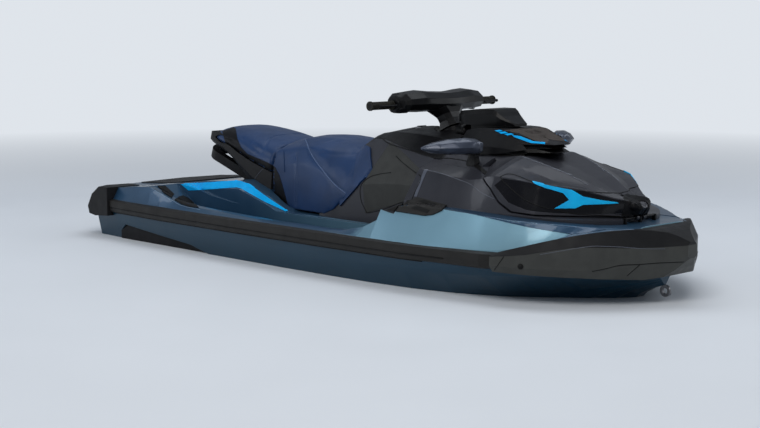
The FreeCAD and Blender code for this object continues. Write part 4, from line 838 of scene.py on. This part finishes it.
def swell(piece, start):
    """Cloth run that blows the skin up, held near its seams and kept within the limit."""
    cloth = piece.modifiers.new("cloth", "CLOTH")
    for key, value in CLOTH.items():
        setattr(cloth.settings, key, value)
    cloth.settings.effector_weights.gravity = 0
    cloth.point_cache.frame_start = 1
    cloth.point_cache.frame_end = CLOTH_FRAMES
    scene = bpy.context.scene
    for number in range(1, CLOTH_FRAMES + 1):
        scene.frame_set(number)
    baked(piece)
    scene.frame_set(1)
    for vertex, origin in zip(piece.data.vertices, start):
        move = vertex.co - origin
        if move.length > SWELL_LIMIT:
            vertex.co = origin + move * (SWELL_LIMIT / move.length)
    relax(piece.data, 2)


def cushion(node, seams, creases, mesh=None):
    """Upholstered form: a solid swollen by a cloth run, held in along its seams."""
    piece = plain_object(node + "_cushion", mesh or frame["nodes"][node].data.copy())
    remesh = piece.modifiers.new("even", "REMESH")
    remesh.mode = "VOXEL"
    remesh.voxel_size = VOXEL
    baked(piece)
    relax(piece.data, 3)
    mesh = piece.data
    for vertex, normal in zip(mesh.vertices, [vertex.normal.copy() for vertex in mesh.vertices]):
        vertex.co -= normal * SHRINK
    surface = search_tree(piece)
    seam_tree, crease_tree = (
        point_tree([point for line in traced for side in SIDES for point in trace(surface, line, 0.0, side)])
        for traced in (seams, creases))
    start = [vertex.co.copy() for vertex in mesh.vertices]
    foot = min(point.z for point in start)
    held = piece.vertex_groups.new(name="held")
    for index, point in enumerate(start):
        weight = 1 - ramp(seam_tree.find(point)[2], HELD_HALF, HELD_FADE)
        if point.z < foot + FOOT_BAND:
            weight = 1.0
        if weight > 0:
            held.add([index], weight, "REPLACE")
    swell(piece, start)
    mesh = piece.data
    for vertex, normal in zip(mesh.vertices, [vertex.normal.copy() for vertex in mesh.vertices]):
        sunk = 0.0
        for tree, (depth, breadth) in ((seam_tree, SEAM_GROOVE), (crease_tree, CREASE_GROOVE)):
            sunk += depth * math.exp(-(tree.find(vertex.co)[2] / breadth) ** 2)
        vertex.co -= normal * sunk
    finer = piece.modifiers.new("finer", "SUBSURF")
    finer.levels = 1
    finer.render_levels = 1
    baked(piece)
    for face in piece.data.polygons:
        face.use_smooth = True
    piece.data.materials.clear()
    piece.data.materials.append(materials[SLOT[node]])
    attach(piece, NODE_BODY[node])
    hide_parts(node)
    return piece


STITCH_PITCH, STITCH_LENGTH, THREAD_RADIUS = 0.009, 0.0052, 0.0007
THREAD_LIFT, STITCH_LIFT = 0.0004, 0.0003
SHORTEST_RUN = 1e-6
STITCH_REACH = 0.01  # a stitch farther than this from the surface is left out


def stitches(name, tree, traced, gap):
    """A row of thread on each side of each seam."""
    form = bmesh.new()
    for line in traced:
        for side in SIDES:
            path = trace(tree, line, THREAD_LIFT, side)
            covered = 0.0
            for first, second in zip(path, path[1:]):
                run = second - first
                if run.length < SHORTEST_RUN:
                    continue
                covered += run.length
                if covered < STITCH_PITCH:
                    continue
                covered = 0.0
                heading = run.normalized()
                across = heading.cross(tree.find_nearest(second)[1]).normalized()
                for way in (1, -1):
                    spot, facing, _, far = tree.find_nearest(second + across * gap * way)
                    if spot is None or far > STITCH_REACH:
                        continue
                    spot = spot + facing * STITCH_LIFT
                    tube(form, [spot - heading * STITCH_LENGTH / 2, spot + facing * STITCH_LIFT,
                                spot + heading * STITCH_LENGTH / 2], THREAD_RADIUS, sides=4)
    return finish_piece(form, name, "craft", "seat_vinyl", "piping")


materials = build_materials()
dress_nodes()
build_camera()
build_floor()
build_world()
build_lights()

# Pieces whose material isn't the one of their slot
MATERIAL_FOR = {"bar_cover": "cover_black", "gauge_pod": "cover_black", "steering_neck": "cover_black",
                "bumper_cap": "cap_grey", "mirrors": "mirror_shell", "seat_shell": "cap_grey",
                "hood_hinge": "trim_black", "stern_corners": "cap_grey", "gunwale_bands": "band_grey",
                "handlebar": "cover_black"}
# Smooth skins: node, and the angle from which an edge shows
CREASE_ANGLES = (("hull", 20), ("deck", 20), ("hood", 9), ("console", 12), ("side_panels", 12), ("lenses", 14),
                 ("knee_pads", 16), ("scoop", 14), ("gauge_pod", 20), ("bow_bumper", 12), ("bumper_cap", 12),
                 ("gunwale_bands", 14), ("stern_corners", 20), ("seat_shell", 20), ("bar_cover", 24),
                 ("mirrors", 30), ("steering_neck", 24), ("glovebox_lid", 16), ("grab_handle", 20))
skins = {}
for node, crease_angle in CREASE_ANGLES:
    skins[node] = smooth_copy(node, materials[MATERIAL_FOR.get(node, SLOT[node])], crease_angle,
                              reshaped=node in ("hood", "lenses"))
for node in ("hood_hinge", "handlebar"):
    frame["nodes"][node].data.materials.clear()
    frame["nodes"][node].data.materials.append(materials[MATERIAL_FOR[node]])
for node, change in (("gauge_pod", slim_pod), ("mirrors", full_mirror)):
    for vertex in skins[node].data.vertices:
        vertex.co = change(vertex.co)
STALK_TOP = 0.562
skins["mirrors"].data.materials.append(materials["cover_black"])
for face in skins["mirrors"].data.polygons:
    face.material_index = 1 if face.center.z < STALK_TOP else 0

# Seats
FRONT_PIPING = [(303, 133.5), (305, 139), (306.9, 143.1), (310, 151.3), (315, 160), (322.5, 170), (330, 179.4),
                (337.5, 186.9), (346.3, 193.6), (351, 197)]
FRONT_SEAM = [(296, 155), (295.9, 166), (295.9, 185), (295.9, 204)]
FRONT_FOLD = [(322, 152.5), (337.5, 153.8), (352, 153.6), (366, 153.8)]
REAR_ARC = [(263, 153), (265.5, 146), (269.5, 139.5), (276, 135.8), (285, 134.8)]
REAR_SIDE = [(243, 138), (252, 147), (262, 153), (274, 158), (286, 163)]
SHELL_SIDE = [(235.6, 128.4), (237.5, 138.8), (241.3, 147.5), (247.5, 153.8), (257.5, 158.1), (267.5, 162.5),
              (275, 166.9), (279.4, 175), (282.5, 185), (285.6, 196.3), (287.5, 203.5), (288, 210), (266, 206),
              (256, 190), (244, 172), (228, 152), (222, 130), (232, 126.5)]
SHELL_EDGE = [(281, 157.6), (273.8, 160.6), (267.5, 165), (260, 171.9), (254.5, 179.5)]
SEAT_FLAP = [(341, 206), (348, 198), (355, 190), (361.3, 182.5), (368.8, 175), (372.5, 168.8), (371.3, 157.5),
             (370.6, 147.5), (364, 144), (352, 146), (344, 160), (341, 185)]
BRIDGE = [(259, 149), (268, 144), (276, 147), (284, 150), (285, 172), (281, 171), (275, 166.4), (267.5, 162),
          (259, 158)]
front_cushion = cushion("seat_front", [FRONT_PIPING, FRONT_SEAM], [FRONT_FOLD], saddle_mesh(FRONT_ROWS))
rear_cushion = cushion("seat_rear", [REAR_ARC], [REAR_SIDE])
front_surface = search_tree(front_cushion)
rear_surface = search_tree(rear_cushion)
seat_surface = search_tree(front_cushion, rear_cushion)
lines("seat_piping", front_surface, [FRONT_PIPING], 0.0022, "craft", "seat_vinyl", "piping")
stitches("seat_stitches", front_surface, [FRONT_PIPING, FRONT_SEAM], gap=0.006)
stitches("rear_seat_stitches", rear_surface, [REAR_ARC], gap=0.005)
panel("seat_shell_sides", seat_surface, [SHELL_SIDE], "craft", "trim_black", lift=0.0016)
panel("seat_flaps", search_tree(skins["console"]), [SEAT_FLAP], "craft", "seat_vinyl", lift=0.008)
panel("seat_bridges", seat_surface, [BRIDGE], "craft", "seat_vinyl", lift=0.003)
# Painted highlight along the edge of the seat shell
lines("shell_edge_highlights", search_tree(front_cushion, rear_cushion, skins["seat_shell"]), [SHELL_EDGE], 0.0012,
      "craft", "seat_vinyl", "painted_highlight_grey")

# Quarters and gunwales
QUARTER_STRIPE = [(181, 184), (200, 183), (237, 180.5), (241, 181), (250, 184.5), (270, 199), (288, 211),
                  (286, 211.6), (265, 202), (241, 188.5), (237, 187.5), (200, 190), (189, 190.5)]
QUARTER_RECESS = [(174.5, 200.3), (179, 197), (183, 196), (188, 198.4), (199, 208), (190, 207.2), (182, 204.6)]
QUARTER_SLOT = [(157.5, 186.4), (165, 186.2), (174, 194.6), (171.5, 198), (164, 193.4)]
QUARTER_EDGE = [(139, 183.2), (148, 186.4), (160, 193.4), (171, 199.4), (181, 205.2), (200, 209.6)]
GUNWALE_EDGE = [(355, 219), (368, 214.5), (387, 209.3)]
deck_surface = search_tree("deck", "hull")
panel("quarter_stripes", deck_surface, [QUARTER_STRIPE], "craft", "accent_blue", "stripe_blue", lift=0.003,
      step=1.2)
# Black patches over a recess and a dark strip on each quarter panel: painted shade
panel("quarter_recess_shade", deck_surface, [QUARTER_RECESS, QUARTER_SLOT], "craft", "trim_black", "gap_and_shade_black",
      lift=0.005, step=1.0)
# Painted highlights along the edge of each quarter panel and the rising edge of the gunwale
lines("quarter_edge_highlights", deck_surface, [QUARTER_EDGE], 0.0016, "craft", "deck_paint", "painted_highlight_blue", lift=0.0)
lines("gunwale_edge_highlights", deck_surface, [GUNWALE_EDGE], 0.0022, "craft", "deck_paint", "painted_highlight_blue")
groove("band_grooves", skins["gunwale_bands"], height=0.158, radius=0.0032)
# Dark line along the foot of each band: painted shade under the band
groove("band_foot_shade", skins["gunwale_bands"], height=0.134, radius=0.0045)

# Console
KNEE_EDGE = [(391, 172.5), (380, 174), (370, 177), (362, 184), (360, 192), (362, 203), (367, 213)]
KNEE_FOOT = [(367, 213), (375, 211.5), (387, 208), (400, 203), (411, 200)]
KNEE_FRONT = [(421, 176), (420, 182), (415.5, 191), (411.5, 200)]
KNEE_CREASE = [(396, 156), (402, 162), (412, 170), (421, 176)]
CONSOLE_CREASE = [(426, 170), (440, 173), (460, 180), (470, 184), (480, 191.5), (486, 195), (495, 199),
                  (501, 199.6)]
CONSOLE_BEVEL = [(424.3, 169.6), (427.8, 169.6), (422.4, 182), (416.8, 196.6), (414, 196.4), (419.3, 182)]
VENT = [(387, 209.6), (400, 204.6), (413, 199.8), (418, 197.6), (447, 205.4), (442, 211), (433, 215), (425, 216),
        (410, 213.7), (394, 211.2)]
VENT_SLOTS = [[(418, 201.2), (424, 199.7), (437, 203.9), (433, 206.5)],
              [(411.5, 208.2), (416, 205.4), (430, 209.9), (427, 213.2)]]
FLANK_TOP = [(447, 208.0), (475, 214.6), (500, 220.8), (525, 226.6), (550, 231), (572, 234.4), (590, 232.4),
             (606, 229.4), (592, 224.4), (572, 221), (553, 218.6), (530, 216), (512, 213), (480, 208), (460, 204)]
BUMPER_HIGHLIGHT = [(572, 234.8), (585, 233.4), (600, 231.8), (617, 230.4), (634, 229.4)]
SHOULDER = [(380, 137), (389, 143.5), (400, 147), (420, 153.5), (428, 156), (440, 158), (455, 159), (476, 163)]
HOOD_GAP = [(474, 162), (480, 166), (488, 173), (498, 190), (503.5, 198), (499.5, 197), (492, 187.5),
            (484, 174), (474, 166.5)]
shoulder = Vector((TOP_GROWTH, -1.0, 0.0)).normalized()
PLATE_FOOT, PLATE_END = 0.47, 0.585
TOP_CUTS = (((0.0, TOP_REACH, 0), -shoulder), ((0.0, -TOP_REACH, 0), Vector((-shoulder.x, shoulder.y, 0))),
            ((0, 0, PLATE_FOOT), (0, 0, -1)), ((PLATE_END, 0, 0), (1, 0, 0)))
clipped("console_top", skins["console"], TOP_CUTS, "console_grey", "trim_black", lift=0.0015)
console_surface = search_tree(skins["console"], skins["side_panels"], skins["knee_pads"])
flank_surface = search_tree(skins["console"], skins["side_panels"], skins["knee_pads"], "deck")
lines("console_gaps", console_surface, [KNEE_EDGE, KNEE_FOOT, KNEE_FRONT, KNEE_CREASE], 0.0022, "craft",
      "console_grey", "gap_and_shade_black", lift=0.0)
# Painted highlights along the console's crease and bevel
lines("console_crease_highlights", console_surface, [CONSOLE_CREASE], 0.0014, "craft", "console_grey", "painted_highlight_grey",
      lift=0.0)
panel("console_bevel_highlights", console_surface, [CONSOLE_BEVEL], "craft", "console_grey", "painted_highlight_grey")
vents = panel("vents", flank_surface, [VENT], "craft", "trim_black", "band_grey", lift=0.006)
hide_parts("side_vents")
panel("vent_slots", search_tree(vents), VENT_SLOTS, "craft", "trim_black", "gap_and_shade_black", step=1.0)
# Darker sheet laid on the deck's top strip beside the console: painted shade
panel("flank_top_shade", search_tree("deck"), [FLANK_TOP], "craft", "deck_paint", "deck_shade_paint", lift=0.0016, step=1.5)
# Painted highlight along the top of the bumper
lines("bumper_highlights", search_tree("deck", "bow_bumper", "bumper_cap"), [BUMPER_HIGHLIGHT], 0.0016, "craft",
      "deck_paint", "painted_highlight_blue", lift=0.0)
lines("shoulder_lines", console_surface, [SHOULDER], 0.0030, "craft", "console_grey", "gap_and_shade_black", lift=0.0)
panel("hood_gaps", console_surface, [HOOD_GAP], "craft", "console_grey", "gap_and_shade_black", lift=0.002, step=1.0)

# Hood
HOOD_CREASES = [[(511.8, 152.7), (530.8, 159.8), (560, 170.6), (575, 178), (588, 185)],
                [(553, 168.5), (572, 175.2)]]
LENS_RIMS = [[(500, 177), (508, 174), (518, 176), (531, 181.3), (545, 185), (560, 188), (575, 190.4),
              (600, 192.7), (622, 193.2)],
             [(500, 177), (505, 183), (515, 192), (526, 200.5), (540, 206.5), (553, 209.5), (575, 213.8),
              (600, 215.4), (620, 216.4)]]
ACCENT = [(532, 181.5), (545, 184.6), (560, 187.8), (572, 190), (583, 196.6), (600, 200), (617, 202.3),
          (619, 203.4), (600, 204.4), (583, 205), (575, 208.5), (554, 208.7), (569, 200), (563, 193.2),
          (545, 188), (535, 184)]
SCOOP_TOP = [(503, 130.5), (520, 128.6), (531, 127.9), (541, 131.6), (549, 140.5), (547, 143.4), (534, 140.3),
             (519, 133.4), (510, 131.9)]
SCOOP_STRIPES = [[(512, 135.4), (520, 136.2), (533, 141.3), (545, 142.6), (545, 144.2), (531, 143.2),
                  (514, 137.2)],
                 [(504.5, 134.2), (511, 133.3), (514, 134.6), (507.5, 135.6)],
                 [(498.5, 132.6), (505, 131.8), (508, 133.0), (501.5, 134.0)],
                 [(495, 130.8), (500, 130.1), (503, 131.2), (497.5, 132.0)]]
NOSE_CAP = [(623.5, 196), (627.5, 194), (634, 198), (640, 203.5), (643, 209), (641, 216), (632, 217.5),
            (621, 217), (624, 207)]
NOSE_POINT = (633.5, 206)
NOSE_RINGS = ((0.017, 0.014), (0.010, 0.018))  # radius and height of the boss and of its core
NOSE_BASE, NOSE_BRIM = 0.002, 0.003
hood_surface = search_tree(skins["hood"], skins["lenses"])
scoop_surface = search_tree(skins["scoop"])
# Painted highlights along the hood's ridges
lines("hood_crease_highlights", hood_surface, HOOD_CREASES, 0.0020, "hood", "console_grey", "painted_highlight_grey", lift=0.0)
lines("lens_rims", hood_surface, LENS_RIMS, 0.0022, "hood", "lens_black", "gap_and_shade_black", lift=0.0)

# Foot of the gauge pod: place of its middle, size, and half breadths below and above
FOOT_X, FOOT_Z = 0.545, 0.632
FOOT_LENGTH, FOOT_HEIGHT = 0.072, 0.062
FOOT_BELOW, FOOT_ABOVE = 0.075, 0.062
form = bmesh.new()
bmesh.ops.create_cube(form, size=1.0)
bmesh.ops.bevel(form, geom=form.edges, offset=0.12, segments=3, affect="EDGES")
for vert in form.verts:
    half = FOOT_BELOW if vert.co.z < 0 else FOOT_ABOVE
    vert.co = Vector((FOOT_X + vert.co.x * FOOT_LENGTH, vert.co.y * 2 * half, FOOT_Z + vert.co.z * FOOT_HEIGHT))
finish_piece(form, "pod_foot", "hood", "trim_black", "cover_black")

accents = panel("accents", hood_surface, [ACCENT], "hood", "accent_blue", lift=0.004, step=1.2)
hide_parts("lens_accents")
panel("scoop_panel", scoop_surface, [SCOOP_TOP], "hood", "trim_black", "badge_brown", lift=0.0008)
panel("scoop_stripes", scoop_surface, SCOOP_STRIPES, "hood", "accent_blue", "stripe_blue", lift=0.0022, step=0.6)
# Black copy sunk in the scoop's mouth: painted shade in the opening
shifted("scoop_throat_shade", skins["scoop"], share=0.93, fall=0.016, material="gap_and_shade_black")
shifted("scoop_lip", skins["scoop"], share=0.985, fall=0.034, material="cover_black")
panel("nose_cap", hood_surface, [NOSE_CAP], "hood", "lens_black", "trim_black", lift=0.004, step=1.5)
nose, facing = spot_on(hood_surface, NOSE_POINT)
form = bmesh.new()
for radius, height in NOSE_RINGS:
    tube(form, [nose + facing * NOSE_BASE, nose + facing * (height - NOSE_BRIM), nose + facing * height], radius,
         sides=20)
finish_piece(form, "nose_boss", "hood", "trim_black")

# Bumper
CHIN_SEAM = [(592, 271.5), (605, 269), (620, 265.5), (640, 264.5), (660, 263), (684, 262)]
CHIN_CUT = [(640, 264.7), (627, 276)]
BUMPER_END = [(503.8, 256.6), (494.4, 270.1)]
BUMPER_RIDGE = [(540, 254.6), (570, 249.4), (590, 246.5), (600, 246.2), (620, 247.0), (645, 248.8), (665, 248.8)]
PLUG_POINT = (520.5, 266.6)
PLUG_RADIUS, PLUG_HALF, PLUG_BRIM = 0.0115, 0.002, 0.0015
bumper_surface = search_tree(skins["bow_bumper"], skins["bumper_cap"])
lines("bumper_seams", bumper_surface, [CHIN_SEAM, CHIN_CUT, BUMPER_END], 0.0018, "craft", "trim_black",
      "gap_and_shade_black", lift=0.0)
# Painted highlight along the ridge of the bumper
lines("bumper_ridge_highlights", bumper_surface, [BUMPER_RIDGE], 0.0012, "craft", "bumper_grey", "painted_highlight_grey",
      lift=-0.0004)
form = bmesh.new()
for side in SIDES:
    plug, facing = spot_on(bumper_surface, PLUG_POINT, side)
    tube(form, [plug - facing * PLUG_HALF, plug + facing * PLUG_BRIM, plug + facing * PLUG_HALF], PLUG_RADIUS,
         sides=24)
finish_piece(form, "bumper_plugs", "craft", "trim_black", "gap_and_shade_black")

bpy.context.scene.view_settings.view_transform = "Standard"
